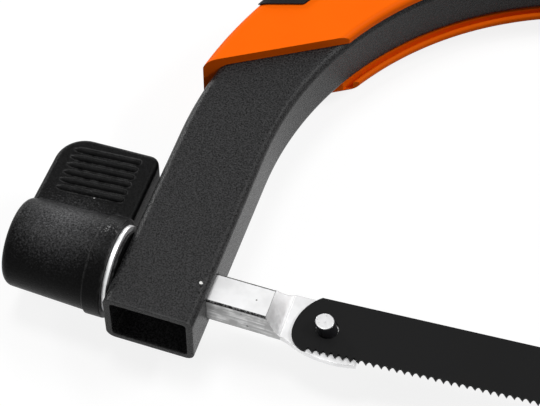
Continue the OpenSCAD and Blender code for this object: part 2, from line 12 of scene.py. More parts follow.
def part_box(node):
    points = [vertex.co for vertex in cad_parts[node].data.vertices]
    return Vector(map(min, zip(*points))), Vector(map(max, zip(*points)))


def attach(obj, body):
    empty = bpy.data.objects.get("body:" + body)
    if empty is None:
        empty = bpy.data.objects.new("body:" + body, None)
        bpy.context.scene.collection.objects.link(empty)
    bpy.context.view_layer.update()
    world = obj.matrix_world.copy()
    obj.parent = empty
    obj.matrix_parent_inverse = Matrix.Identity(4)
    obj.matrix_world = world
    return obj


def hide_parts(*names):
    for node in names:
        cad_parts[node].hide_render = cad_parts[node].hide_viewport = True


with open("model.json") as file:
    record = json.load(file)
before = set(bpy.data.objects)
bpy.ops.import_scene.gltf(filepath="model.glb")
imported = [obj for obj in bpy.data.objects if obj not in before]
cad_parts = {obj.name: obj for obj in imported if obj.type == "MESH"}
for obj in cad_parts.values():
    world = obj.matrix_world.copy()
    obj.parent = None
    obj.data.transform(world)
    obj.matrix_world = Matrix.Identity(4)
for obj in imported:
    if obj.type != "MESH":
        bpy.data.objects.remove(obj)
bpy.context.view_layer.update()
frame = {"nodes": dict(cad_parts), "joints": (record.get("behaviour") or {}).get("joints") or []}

bl_info = {
    "name": "Hacksaw Pieces",
    "version": (1, 0, 0),
    "blender": (4, 5, 0),
    "location": "3D View > Sidebar > Hacksaw",
    "description": "Builds the pieces and finishes of a hacksaw around its packed frame",
    "category": "Add Mesh",
}

MM = 0.001
UP = Vector((0, 0, 1))
KNOB_JOINT = next(joint for joint in frame["joints"] if joint["name"] == "knob_turn")
LEG_PLACE = Vector(KNOB_JOINT["pos_m"])
BLADE_LOW, BLADE_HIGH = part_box("blade")
BLADE_SHIFT = 0.05 * MM             # how far the blade hangs back from the pins' centres
FIT = 0.03 * MM                     # gap left between two fitted mouldings
PIN_PLAY = 0.01 * MM                # how much smaller a pin's radius is than its hole's
HAIR = 0.0001 * MM                  # closer than this, points count as lying on a plane
HOLE_PLAY = 0.2 * MM                # how much wider the square holes are than the bars
SEAM = 0.05 * MM                    # from the middle plane to each half of the handle
OVERLAP = 0.05 * MM                 # how far a shape starts inside the one that it joins
BAR_EDGE = 0.42 * MM                # broken edges of the square bars
BARREL_EDGE = 1.8 * MM              # rounding of the barrel's free end
WING_SLOPE = 0.5 * MM               # how much shorter the wing's outer end is
WEB = 2.4 * MM                      # fillet between the barrel and the wing
KNOB_BORE = 0.4 * MM                # gap between the shank and the knob's and the collar's bores
PAD_END = 16 * MM                   # from the pad's rear end to the saddle's
NUT_FLATS = 1.75                    # a nut's width across its flats, over its screw's diameter
NUDGES = (0.0, 0.0013, -0.0017, 0.0031, -0.0041)   # shifts in millimetres that a Boolean may try

# Marks on the finishes, from where the draw bar crosses the front leg.
# Where the paddle is painted near black round the pin's root, as a painted shadow.
PIN_SHADOW_PLACE = (33.2 * MM, -1.4 * MM, -2.1 * MM)
CHIP_PLACE = (7.8 * MM, -2.4 * MM, 7 * MM)
SPECK_PLACE = (19 * MM, -1.3 * MM, 3.5 * MM)
SCUFF_PLACE = (-13.4 * MM, 3.4 * MM, 9.5 * MM)
# Where the knob's barrel is painted lighter on top, as a painted sheen.
PAINTED_SHEEN_PLACE = (-23 * MM, 4 * MM, 11 * MM)

CAMERA_PLACE = Vector((-132.98, -243.62, 326.20)) * MM
CAMERA_LOOK = Vector((-0.14621, 0.55684, -0.81765))
CAMERA_ROLL = math.radians(0.295)
CAMERA_LENS = 120.48


def length(name, millimetres, text):
    """A length of the saw, in the scene's metres."""
    return FloatProperty(name=name, description=text, default=millimetres * MM, unit="LENGTH")


def angle(name, degrees, text):
    """An angle of the saw."""
    return FloatProperty(name=name, description=text, default=math.radians(degrees), unit="ROTATION")


def colour(name, value, text):
    """A colour of a finish, in linear light."""
    return FloatVectorProperty(
        name=name, description=text, default=value, size=3, min=0, max=1, subtype="COLOR"
    )


# ---------------------------------------------------------------- sizes and colours
class SawSizes(bpy.types.PropertyGroup):
    """Sizes of the saw's pieces, the same as the packed frame's."""

    tube_width: length("Tube width", 19.2, "Width of the tube, in the plane of the frame")
    tube_thickness: length("Tube thickness", 14, "Thickness of the tube, across the frame")
    tube_wall: length("Tube wall", 1.5, "Wall of the tube")
    tube_corner: length("Tube corner", 2, "Outer corner radius of the tube")
    leg_lean: angle("Leg lean", 3.7, "Lean of the front leg towards the handle")
    front_bend: length("Front bend", 86.85, "Centre line radius of the front bend")
    rear_bend: length("Rear bend", 38, "Centre line radius of the rear bend")
    throat: length("Throat", 106, "Clear depth from the pins to the spine")
    leg_tail: length("Leg tail", 11.7, "Tube beyond the draw bar's axis at the front leg")
    rear_tail: length("Rear tail", 11, "Tube beyond the blade's line at the rear leg")

    hole_span: length("Hole span", 300, "Distance between the blade's two hole centres")
    blade_width: length("Blade width", 13, "Width of the blade, teeth included")
    blade_thickness: length("Blade thickness", 0.65, "Thickness of the blade")
    blade_end: length("Blade end", 6.9, "Blade beyond each hole's centre")
    blade_hole: length("Blade hole", 4.8, "Diameter of the blade's holes")
    hole_drop: length("Hole drop", 0.45, "How far the holes lie from the middle line, towards the teeth")
    tooth_pitch: length("Tooth pitch", 25.4 / 16, "Distance between two teeth")
    gullet: length("Gullet", 0.9, "Depth of the gullets between the teeth")
    tooth_set: length("Tooth set", 0.16, "How far the wavy set leans the teeth to either side")

    bar_side: length("Bar side", 7, "Side of the square bars")
    bar_drop: length("Bar drop", 1, "How far the bars lie below the line of the pins")
    bar_reach: length("Bar reach", 33.85, "From the front pin to the leg's centre line")
    rear_reach: length("Rear reach", 26, "From the rear pin to the rear leg's centre line")
    bar_inside: length("Bar inside", 5, "Square bar that reaches past the leg's centre line")
    paddle_thickness: length("Paddle thickness", 1.35, "Thickness of the flattened paddles")
    paddle_end: length("Paddle end", 7.8, "Length of a paddle beyond its pin")
    ramp_start: length("Ramp start", 11.8, "From the pin to the start of the ramp on the square bar")
    ramp_foot: length("Ramp foot", 8.6, "From the pin to the foot of the ramp")
    pin_diameter: length("Pin diameter", 3.9, "Diameter of the blade pins")
    pin_proud: length("Pin proud", 2.6, "Height of the pins above the blade")
    pin_lean: angle("Pin lean", 14, "Lean of the pins away from the blade")
    cross_pin: length("Cross pin", 4, "Diameter of the pin across the rear holder")
    shank: length("Shank", 6, "Diameter of the threaded shank")

    knob_length: length("Knob length", 22.3, "Length of the knob along its axis")
    barrel_end: length("Barrel end", 19, "Diameter of the knob's barrel at its free end")
    barrel_root: length("Barrel root", 20.2, "Diameter of the knob's barrel at its collar")
    collar: length("Collar", 21.2, "Diameter of the knob's collar")
    collar_length: length("Collar length", 3.9, "Length of the knob's collar")
    wing_reach: length("Wing reach", 26.8, "Reach of the wing from the knob's axis")
    wing_thickness: length("Wing thickness", 9, "Thickness of the wing")
    wing_gap: length("Wing gap", 0.2, "Running gap between the wing and the washer's plane")
    rib_pitch: length("Rib pitch", 2.05, "Spacing of the grip ribs")
    rib_count: IntProperty(name="Ribs", description="Grip ribs on each side of the wing", default=6)
    washer: length("Washer", 18.8, "Diameter of the washer")
    washer_thickness: length("Washer thickness", 1, "Thickness of the washer")
    bush: length("Bush", 16.8, "Diameter of the bush's flange")
    bush_thickness: length("Bush thickness", 0.6, "Thickness of the bush's flange")

    saddle_wall: length("Saddle wall", 2.4, "Wall of the moulded saddle on the tube's sides")
    saddle_lip: length("Saddle lip", 1.5, "Lip of the saddle past the throat face, on the far side")
    saddle_from: angle("Saddle from", 150, "Angle round the front bend where the saddle starts")
    saddle_slope: angle("Saddle slope", 27.7, "Slope of the saddle's slanted front edge")
    saddle_end: length("Saddle end", 112, "End of the saddle along the spine, from the front pin")
    pad_recess: length("Pad recess", 1.1, "Depth of the recess that the soft pad lies in")
    pad_proud: length("Pad proud", 0.5, "How far the soft pad stands proud of the saddle")
    pad_edge: length("Pad edge", 3.9, "Width of saddle left bare beside the pad")
    pad_slope: angle("Pad slope", 14.7, "Slope of the pad's slanted front edge")

    sleeve_wall: length("Sleeve wall", 3, "Wall of the handle around the tube")
    sleeve_length: length("Sleeve length", 52, "Length of the handle's sleeve before the rear bend")
    handle_thickness: length("Handle thickness", 22, "Thickness of the handle")
    finger_length: length("Finger length", 86, "Length of the finger opening")
    finger_width: length("Finger width", 33, "Width of the finger opening at its middle")
    bridge_width: length("Bridge width", 19, "Width of the handle's bridges")
    grip_width: length("Grip width", 27, "Width of the grip")
    grip_thickness: length("Grip thickness", 24, "Thickness of the grip")
    grip_sleeve: length("Grip sleeve", 2, "Thickness of the grip's soft sleeve")
    grip_lean: angle("Grip lean", 9, "Lean of the grip, its top towards the blade")
    screw: length("Screw", 4, "Diameter of the handle's screws")


class SawColours(bpy.types.PropertyGroup):
    """Colours of the saw's finishes."""

    powder: colour("Powder coat", (0.0215, 0.0215, 0.022), "Black powder coat of the tube")
    plastic: colour("Saddle plastic", (1.0, 0.15, 0.002), "Orange of the saddle and the handle")
    plastic_dark: colour("Plastic in grain", (0.95, 0.128, 0.002), "Orange in the moulding's low spots")
    knob: colour("Knob plastic", (0.0036, 0.0036, 0.0037), "Black of the knob and the bush")
    rubber: colour("Soft pad", (0.008, 0.0082, 0.0095), "Black of the soft pad and the grip sleeve")
    zinc: colour("Zinc", (0.9, 0.9, 0.905), "Zinc plating of the bars")
    steel: colour("Steel", (0.52, 0.52, 0.525), "Plain steel of the pins and the screws")
    blade: colour("Blade", (0.004, 0.004, 0.0042), "Black coat of the blade")
    floor: colour("Floor", (0.18, 0.18, 0.18), "The share of the floor's white that takes a shadow")


class Layout:
    """Places in the saw's own frame: origin at the front pin, X to the handle, Y to the spine."""

    def __init__(self, size):
        lean = size.leg_lean
        self.leg = Vector((
            -size.bar_reach * math.cos(lean) - size.bar_drop * math.sin(lean),
            size.bar_reach * math.sin(lean) - size.bar_drop * math.cos(lean),
            0,
        ))
        self.spine_y = size.throat + size.tube_width / 2
        front_y = self.spine_y - size.front_bend
        self.leg_length = (front_y + size.front_bend * math.sin(lean) - self.leg.y) / math.cos(lean)
        front_x = self.leg.x + self.leg_length * math.sin(lean) + size.front_bend * math.cos(lean)
        self.front_centre = Vector((front_x, front_y, 0))
        self.rear_pin_x = size.hole_span - 2 * BLADE_SHIFT
        self.rear_leg_x = self.rear_pin_x + size.rear_reach
        self.rear_centre = Vector((self.rear_leg_x - size.rear_bend, self.spine_y - size.rear_bend, 0))
        self.rear_end = -size.rear_tail
        self.paddle_top = -size.bar_side / 2 + size.paddle_thickness
        self.blade_top = self.paddle_top + size.blade_thickness
        self.bush_face = size.tube_width / 2 + size.bush_thickness
        self.washer_face = self.bush_face + size.washer_thickness
        self.knob_tip = self.washer_face + size.knob_length


# ---------------------------------------------------------------- places
def saw_place(size):
    """The saw's own frame, from the packed blade and the knob's axis."""
    x = BLADE_LOW.x + size.blade_end + BLADE_SHIFT
    y = (BLADE_LOW.y + BLADE_HIGH.y) / 2 - size.hole_drop
    return Matrix.Translation((x, y, LEG_PLACE.z))


def leg_place(size):
    """Origin where the draw bar crosses the front leg, X along the bar to the blade."""
    return Matrix.Translation(LEG_PLACE) @ Matrix.Rotation(-size.leg_lean, 4, "Z")


def knob_place(size):
    """The same place with Z pointing outwards along the knob's axis."""
    return leg_place(size) @ Matrix.Rotation(-math.pi / 2, 4, "Y")


def wing_place(size):
    """The same place with X outwards along the knob's axis and Y along the wing."""
    return leg_place(size) @ Matrix.Rotation(math.pi, 4, "Y")


def front_pin_place(size):
    """Origin at the front pin, the bar runs towards -X."""
    return saw_place(size) @ Matrix.Rotation(-size.leg_lean, 4, "Z")


def rear_pin_place(size):
    """Origin at the rear pin, mirrored so that its bar runs towards the handle."""
    plan = Layout(size)
    return saw_place(size) @ Matrix.Translation((plan.rear_pin_x, 0, 0)) @ Matrix.Scale(-1, 4, (1, 0, 0))


def facing(x, y, z, origin=(0, 0, 0)):
    """Place whose axes point along three directions."""
    place = Matrix((x, y, z)).transposed().to_4x4()
    place.translation = origin
    return place


def arc(centre, radius, start, end, steps):
    """Points of an arc in the XY plane, from one angle to another."""
    angles = (start + (end - start) * k / steps for k in range(steps + 1))
    return [(centre[0] + radius * math.cos(a), centre[1] + radius * math.sin(a)) for a in angles]


def heading(turned):
    """Direction in the XY plane at an angle from X."""
    return Vector((math.cos(turned), math.sin(turned), 0))


# ---------------------------------------------------------------- mesh helpers
def polygon(bm, points):
    """Face of the XY plane through its points."""
    return bm.faces.new([bm.verts.new((x, y, 0)) for x, y in points])


def round_corners(bm, corners, radius, steps=6):
    """Round some corners of a flat face."""
    bmesh.ops.bevel(
        bm, geom=list(corners), offset=radius, offset_type="OFFSET", segments=steps,
        profile=0.5, affect="VERTICES", material=-1,
    )


def round_edges(bm, edges, width, steps):
    """Round some edges."""
    bmesh.ops.bevel(
        bm, geom=edges, offset=width, offset_type="OFFSET", segments=steps, profile=0.5,
        affect="EDGES", material=-1, clamp_overlap=True,
    )


def soften(bm, width, steps=3, over=35):
    """Round the edges that turn by more than an angle, in degrees."""
    limit = math.radians(over)
    round_edges(bm, [e for e in bm.edges if e.is_manifold and e.calc_face_angle(0) > limit], width, steps)


def pull(bm, face, offset):
    """Extrude a face and return the one at its new end."""
    made = bmesh.ops.extrude_face_region(bm, geom=[face])["geom"]
    bmesh.ops.translate(bm, verts=[g for g in made if isinstance(g, bmesh.types.BMVert)], vec=offset)
    return next(g for g in made if isinstance(g, bmesh.types.BMFace))


def turn(bm, face, centre, radians, steps):
    """Carry a face round an upright axis, clockwise seen from above, and return its new end."""
    made = bmesh.ops.spin(
        bm, geom=[face], cent=centre, axis=(0, 0, -1), dvec=(0, 0, 0), angle=radians, steps=steps,
        use_merge=False, use_duplicate=False,
    )["geom_last"]
    return next(g for g in made if isinstance(g, bmesh.types.BMFace))


def clear_inside(bm):
    """Take out the sections left inside a sweep and point its faces outwards."""
    inside = [f for f in bm.faces if all(len(e.link_faces) > 2 for e in f.edges)]
    bmesh.ops.delete(bm, geom=inside, context="FACES_ONLY")
    bmesh.ops.recalc_face_normals(bm, faces=bm.faces)


def prism(points, height):
    """Closed block from an outline in the XY plane up to a height."""
    bm = bmesh.new()
    pull(bm, polygon(bm, points), (0, 0, height))
    bmesh.ops.recalc_face_normals(bm, faces=bm.faces)
    return bm


def lathe(outline, steps=72, closed=False):
    """Turn an outline of (radius, height) points about Z."""
    bm = bmesh.new()
    verts = [bm.verts.new((r, 0, z)) for r, z in outline]
    ends = verts[1:] + verts[:1] if closed else verts[1:]
    edges = [bm.edges.new(pair) for pair in zip(verts, ends)]
    bmesh.ops.spin(
        bm, geom=verts + edges, cent=(0, 0, 0), axis=(0, 0, 1), dvec=(0, 0, 0),
        angle=2 * math.pi, steps=steps, use_merge=True, use_duplicate=False,
    )
    bmesh.ops.remove_doubles(bm, verts=bm.verts, dist=0.001 * MM)
    bmesh.ops.recalc_face_normals(bm, faces=bm.faces)
    return bm


def rod(radius, low, high, steps=48):
    """Plain round rod along Z."""
    return lathe([(0, low), (radius, low), (radius, high), (0, high)], steps)


def block(width, depth, height, centre=(0, 0, 0)):
    """Plain block, for cutting."""
    bm = bmesh.new()
    place = Matrix.Translation(centre) @ Matrix.Diagonal((width, depth, height, 1))
    bmesh.ops.create_cube(bm, size=1, matrix=place)
    return bm


def moved(bm, matrix):
    """The same bmesh at another place; a mirrored one is turned right side out."""
    bmesh.ops.transform(bm, matrix=matrix, verts=bm.verts)
    if matrix.determinant() < 0:
        bmesh.ops.reverse_faces(bm, faces=bm.faces)
    return bm


def joined(*meshes):
    """One bmesh that holds several."""
    whole = meshes[0]
    for other in meshes[1:]:
        mesh = bpy.data.meshes.new("joining")
        other.to_mesh(mesh)
        other.free()
        whole.from_mesh(mesh)
        bpy.data.meshes.remove(mesh)
    return whole


def as_object(bm, name):
    """Object at the origin that holds a bmesh."""
    mesh = bpy.data.meshes.new(name)
    bm.to_mesh(mesh)
    bm.free()
    obj = bpy.data.objects.new(name, mesh)
    bpy.context.scene.collection.objects.link(obj)
    return obj


def from_object(obj):
    """The bmesh of an object with its modifiers applied; the object goes."""
    graph = bpy.context.evaluated_depsgraph_get()
    bm = bmesh.new()
    bm.from_object(obj, graph)
    mesh = obj.data
    bpy.data.objects.remove(obj)
    bpy.data.meshes.remove(mesh)
    return bm


def combine(bm, tool, operation):
    """Cut or join one closed bmesh with another, and check the result's volume.

    A Boolean whose result can't be right is tried again with the tool shifted by a hair.
    """
    first, second = bm.calc_volume(), tool.calc_volume()
    if operation == "UNION":
        least, most = max(first, second), first + second
    else:
        least, most = first - second, first
    slack = 0.002 * max(first, second)
    for nudge in NUDGES:
        shift = Matrix.Translation(Vector((nudge, nudge, nudge)) * MM)
        result = boolean(bm.copy(), moved(tool.copy(), shift), operation)
        if result.faces and least - slack <= result.calc_volume() <= most + slack:
            bm.free()
            tool.free()
            return result
        result.free()
    raise RuntimeError("the shapes could not be combined")


def boolean(bm, tool, operation):
    """One exact Boolean of two closed bmeshes."""
    obj = as_object(bm, "work")
    helper = as_object(tool, "tool")
    change = obj.modifiers.new("combine", "BOOLEAN")
    change.operation = operation
    change.solver = "EXACT"
    change.object = helper
    result = from_object(obj)
    mesh = helper.data
    bpy.data.objects.remove(helper)
    bpy.data.meshes.remove(mesh)
    bmesh.ops.remove_doubles(result, verts=result.verts, dist=0.0005 * MM)
    return result


def cut(bm, *tools):
    """Cut each tool out of a closed bmesh."""
    for tool in tools:
        bm = combine(bm, tool, "DIFFERENCE")
    return bm


def moulded(bm, voxel, smoothing):
    """Fuse overlapping closed shapes into one skin with soft inner corners, as a moulding has.

    The skin's bent squares are cut into triangles, so that later Booleans leave no folded flaps.
    """
    obj = as_object(bm, "moulding")
    skin = obj.modifiers.new("skin", "REMESH")
    skin.mode = "VOXEL"
    skin.voxel_size = voxel * 1
    ease = obj.modifiers.new("ease", "SMOOTH")
    ease.factor = 0.5
    ease.iterations = smoothing
    bm = from_object(obj)
    bmesh.ops.triangulate(bm, faces=bm.faces)
    return bm


def piece(name, bm, body, material, nodes=(), flat_over=40):
    """A finished piece: smooth but for its sharp edges, on its body, in place of its CAD nodes."""
    obj = as_object(bm, name)
    obj.data.shade_smooth()
    obj.data.set_sharp_from_angle(angle=math.radians(flat_over))
    obj.data.materials.append(material)
    shade = obj.modifiers.new("Even normals", "WEIGHTED_NORMAL")
    shade.keep_sharp = True
    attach(obj, body)
    if nodes:
        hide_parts(*nodes)
    return obj


def dress(node, material):
    """Give a CAD node that stays its finish."""
    obj = frame["nodes"][node]
    obj.data.materials.clear()
    obj.data.materials.append(material)


# ---------------------------------------------------------------- shader trees
def made_once(store):
    """Keep one copy of what a function makes, under the name that its docstring starts with.

    The copy is kept in a store of bpy.data, such as materials, and the function is given its name.
    """
    def wrap(build):
        label = build.__doc__.split(":")[0]

        def get():
            return getattr(bpy.data, store).get(label) or build(label)
        return get
    return wrap


def grey(level):
    """A neutral colour."""
    return (level, level, level)


def tint(name, share=1.0):
    """One of the saw's colours, made darker or lighter by a share."""
    return Vector(getattr(bpy.context.scene.saw_colours, name)) * share


class Nodes:
    """A shader tree and the ways to add to it."""

    def __init__(self, tree):
        self.tree = tree

    def give(self, entry, value):
        """Set an input, or link it to an output."""
        if isinstance(value, bpy.types.NodeSocket):
            self.tree.links.new(value, entry)
        else:
            entry.default_value = value

    def add(self, kind, values=(), **settings):
        """Add a node, whose inputs each take a value or the output that feeds them."""
        node = self.tree.nodes.new(kind)
        for key, value in settings.items():
            setattr(node, key, value)
        for key, value in dict(values).items():
            self.give(node.inputs[key], value)
        return node

    def math(self, operation, *values):
        """The outcome of one sum."""
        return self.add("ShaderNodeMath", enumerate(values), operation=operation).outputs["Value"]

    def fit(self, value, low, high, new_low=0, new_high=1):
        """Map a range of a value to another."""
        return self.add("ShaderNodeMapRange", {
            "Value": value, "From Min": low, "From Max": high, "To Min": new_low, "To Max": new_high,
        }).outputs["Result"]


class Group(Nodes):
    """An effect that finishes share: a node group that reads the piece's own coordinates."""

    def __init__(self, label, outputs, **inputs):
        super().__init__(bpy.data.node_groups.new(label, "ShaderNodeTree"))
        for name, value in inputs.items():
            self.socket(name.replace("_", " "), "INPUT").default_value = value
        for name in outputs:
            self.socket(name, "OUTPUT")
        self.given = self.tree.nodes.new("NodeGroupInput").outputs
        self.place = self.add("ShaderNodeTexCoord").outputs["Object"]

    def socket(self, name, in_out):
        """Open an input or an output of the group."""
        return self.tree.interface.new_socket(name, in_out=in_out, socket_type="NodeSocketFloat")

    def vector(self, operation, first, second, result="Vector"):
        """An output of a sum with two vectors."""
        return self.add(
            "ShaderNodeVectorMath", {0: first, 1: second}, operation=operation
        ).outputs[result]

    def noise(self, scale, detail, roughness=0.5, place=None):
        """Noise on the group's coordinates, or on others."""
        return self.add("ShaderNodeTexNoise", {
            "Vector": place or self.place, "Scale": scale, "Detail": detail, "Roughness": roughness,
        }).outputs["Fac"]

    def done(self, **results):
        """Feed the group's outputs and return its tree."""
        end = self.tree.nodes.new("NodeGroupOutput")
        for name, value in results.items():
            self.give(end.inputs[name], value)
        return self.tree


@made_once("node_groups")
def grain_group(label):
    """Surface Grain: fine grain of a coat or a moulding, and a slow, broad variation of tone."""
    group = Group(label, ["Height", "Tone"], Grain_Scale=2000, Pitting=0.3, Tone_Scale=60)
    scale = group.given["Grain Scale"]
    values = {"Vector": group.place, "Scale": scale}
    pits = group.add("ShaderNodeTexVoronoi", values, feature="SMOOTH_F1")
    height = group.add("ShaderNodeMix", {
        "Factor": group.given["Pitting"], "A": group.noise(scale, 3, 0.6), "B": pits.outputs["Distance"],
    }, data_type="FLOAT")
    return group.done(Height=height.outputs["Result"], Tone=group.noise(group.given["Tone Scale"], 2))


@made_once("node_groups")
def speck_group(label):
    """Specks: scattered ones, such as dust and chips in a coat."""
    group = Group(label, ["Mask"], Cells=300, Size=0.2, Share=0.1)
    values = {"Vector": group.place, "Scale": group.given["Cells"]}
    cells = group.add("ShaderNodeTexVoronoi", values, feature="F1")
    draw = group.add("ShaderNodeSeparateColor", {"Color": cells.outputs["Color"]}).outputs["Red"]
    near = group.math("LESS_THAN", cells.outputs["Distance"], group.given["Size"])
    chosen = group.math("LESS_THAN", draw, group.given["Share"])
    return group.done(Mask=group.math("MULTIPLY", near, chosen))


@made_once("node_groups")
def edge_wear_and_painted_light_group(label):
    """Edge Wear: rubbed edges, where the surface turns within a radius, broken up by noise."""
    group = Group(label, ["Mask"], Radius=0.3 * MM, Amount=0.5, Break_Up=900)
    rounded = group.add("ShaderNodeBevel", {"Radius": group.given["Radius"]}, samples=4).outputs["Normal"]
    plain = group.add("ShaderNodeNewGeometry").outputs["Normal"]
    facing = group.vector("DOT_PRODUCT", rounded, plain, "Value")
    patch = group.fit(group.noise(group.given["Break Up"], 4, 0.7), 0.62, 0.4)
    wear_and_highlight_mask = group.math("MULTIPLY", group.fit(facing, 0.995, 0.9), patch)
    return group.done(Mask=group.math("MULTIPLY", wear_and_highlight_mask, group.given["Amount"]))


@made_once("node_groups")
def mark_group(label):
    """Local Mark: one scuff or chip around a place, solid or broken up within its radius."""
    group = Group(
        label, ["Mask"], X=0, Y=0, Z=0, Radius=1 * MM, Break_Up=1500, Cover=0.5, Softness=0.06
    )
    given = group.given
    middle = group.add("ShaderNodeCombineXYZ", {axis: given[axis] for axis in "XYZ"}).outputs["Vector"]
    away = group.vector("DISTANCE", group.place, middle, "Value")
    level = group.math("MULTIPLY_ADD", group.math("DIVIDE", away, given["Radius"]), -0.9, given["Cover"])
    spread = group.fit(group.noise(given["Break Up"], 3, 0.7), 0.35, 0.65)
    edge = group.math("ADD", group.math("SUBTRACT", level, spread), 0.5)
    soft = given["Softness"]
    return group.done(Mask=group.fit(edge, group.math("MULTIPLY", soft, -1), soft))


@made_once("node_groups")
def streak_group(label):
    """Drawn Streaks: fine lines along the bar, with a slow cloudiness."""
    group = Group(label, ["Lines", "Clouds"], Turn=0, Lines=3000, Stretch=0.03, Clouds=150)
    given = group.given
    turned = group.add(
        "ShaderNodeVectorRotate", {"Vector": group.place, "Angle": given["Turn"]}, rotation_type="Z_AXIS"
    ).outputs["Vector"]
    squeeze = group.add("ShaderNodeCombineXYZ", {"X": given["Stretch"], "Y": 1, "Z": 1}).outputs["Vector"]
    along = group.vector("MULTIPLY", turned, squeeze)
    lines = group.noise(given["Lines"], 2, 0.7, along)
    return group.done(Lines=lines, Clouds=group.noise(given["Clouds"], 3))


class Finish(Nodes):
    """A material on one Principled shader, fed by shared groups."""

    def __init__(self, label, **sockets):
        self.material = bpy.data.materials.new(label)
        self.material.use_nodes = True
        super().__init__(self.material.node_tree)
        self.shader = self.tree.nodes["Principled BSDF"]
        for name, value in sockets.items():
            self.feed(name.replace("_", " "), value)

    def feed(self, name, value):
        """Set or drive one of the shader's sockets."""
        self.give(self.shader.inputs[name], value)

    def effect(self, group, **values):
        """Outputs of a shared group with this finish's values."""
        values = {name.replace("_", " "): value for name, value in values.items()}
        return self.add("ShaderNodeGroup", values, node_tree=group).outputs

    def specks(self, cells, size, share):
        """Mask of scattered specks: cells to the metre, their size in a cell and the share of cells."""
        return self.effect(speck_group(), Cells=cells, Size=size, Share=share)["Mask"]

    def edge_wear_and_painted_light(self, radius, amount, break_up):
        """Mask of rubbed edges."""
        return self.effect(edge_wear_and_painted_light_group(), Radius=radius, Amount=amount, Break_Up=break_up)["Mask"]

    def mark(self, offset, **values):
        """Mask of one mark at a place given from the front leg's crossing with the draw bar."""
        place = dict(zip("XYZ", LEG_PLACE + Vector(offset)))
        return self.effect(mark_group(), **place, **values)["Mask"]

    def mix(self, mask, under, over):
        """Lay one colour over another by a mask; each may be the output of a node."""
        under, over = (c if isinstance(c, bpy.types.NodeSocket) else (*c, 1) for c in (under, over))
        return self.add("ShaderNodeMix", {0: mask, 6: under, 7: over}, data_type="RGBA").outputs[2]

    def bump(self, height, depth):
        """Raise the surface by up to a depth, in metres."""
        raised = self.add("ShaderNodeBump", {"Height": height, "Distance": depth, "Strength": 1})
        self.feed("Normal", raised.outputs["Normal"])

    def relief(self, height, smooth, rough, depth):
        """Raise the surface by a height that also drives its roughness between two values."""
        self.feed("Roughness", self.fit(height, 0.3, 0.7, smooth, rough))
        self.bump(height, depth)


# ---------------------------------------------------------------- finishes
@made_once("materials")
def powder_coat(label):
    """Black Powder Coat: a fine orange peel with a light chip and rubbed corners."""
    finish = Finish(label, IOR=1.45, Specular_IOR_Level=0.12)
    grain = finish.effect(grain_group(), Grain_Scale=3000, Pitting=0.2, Tone_Scale=90)
    # Corners partly rubbed and partly painted lighter, as painted highlight lines.
    wear_and_highlight_mask = finish.edge_wear_and_painted_light(0.7 * MM, 1, 2200)
    chip = finish.mark(CHIP_PLACE, Radius=0.32 * MM, Break_Up=2500, Cover=0.9)
    peel = finish.fit(grain["Height"], 0.36, 0.62)
    tone = finish.mix(peel, tint("powder", 0.1), tint("powder", 2.1))
    rubbed = finish.mix(wear_and_highlight_mask, tone, grey(0.1))
    finish.feed("Base Color", finish.mix(chip, rubbed, (0.8, 0.8, 0.78)))
    finish.relief(grain["Height"], 0.22, 0.34, 0.11 * MM)
    return finish.material


@made_once("materials")
def orange_plastic(label):
    """Orange Moulded Plastic: a satin moulding with a very fine grain."""
    finish = Finish(label, IOR=1.45, Specular_IOR_Level=0.03)
    grain = finish.effect(grain_group(), Grain_Scale=1500, Pitting=0.3, Tone_Scale=70)
    tone = finish.mix(grain["Tone"], tint("plastic_dark"), tint("plastic"))
    finish.feed("Base Color", finish.mix(finish.specks(260, 0.1, 0.03), tone, (0.62, 0.09, 0.006)))
    finish.relief(grain["Height"], 0.38, 0.48, 0.012 * MM)
    return finish.material


@made_once("materials")
def knob_plastic(label):
    """Black Knob Plastic: a leathery moulding, faded on its barrel, rubbed at its edges and scuffed."""
    finish = Finish(label, IOR=1.45, Specular_IOR_Level=0.06)
    grain = finish.effect(grain_group(), Grain_Scale=2800, Pitting=0.3, Tone_Scale=110)
    # Painted sheen: the barrel's top is painted lighter where a highlight would fall.
    painted_sheen = finish.mark(PAINTED_SHEEN_PLACE, Radius=5.5 * MM, Break_Up=2600, Cover=0.75, Softness=1.2)
    scuff = finish.mark(SCUFF_PLACE, Radius=2.4 * MM, Break_Up=900, Cover=0.55, Softness=0.4)
    leather = finish.fit(grain["Height"], 0.36, 0.62)
    plain_tone = finish.mix(leather, tint("knob", 0.3), tint("knob", 2.2))
    painted_sheen_tone = finish.mix(leather, tint("knob", 8), tint("knob", 42))
    # Edges partly rubbed and partly painted lighter, as painted highlight lines.
    rubbed = finish.mix(finish.edge_wear_and_painted_light(0.5 * MM, 0.5, 700), finish.mix(painted_sheen, plain_tone, painted_sheen_tone), grey(0.16))
    crumbs = finish.mix(scuff, grey(0), finish.specks(2600, 0.45, 0.4))
    scuffed = finish.mix(crumbs, rubbed, grey(0.2))
    finish.feed("Base Color", finish.mix(finish.specks(420, 0.09, 0.05), scuffed, grey(0.35)))
    finish.relief(grain["Height"], 0.3, 0.44, 0.1 * MM)
    return finish.material


@made_once("materials")
def soft_rubber(label):
    """Soft Black Rubber: a matt overmould with fine pitting."""
    finish = Finish(label, IOR=1.45, Specular_IOR_Level=0.1)
    grain = finish.effect(grain_group(), Grain_Scale=1800, Pitting=0.6, Tone_Scale=80)
    tone = finish.mix(grain["Tone"], tint("rubber", 0.75), tint("rubber", 1.4))
    finish.feed("Base Color", finish.mix(finish.specks(350, 0.1, 0.03), tone, grey(0.2)))
    finish.relief(grain["Height"], 0.55, 0.72, 0.05 * MM)
    return finish.material


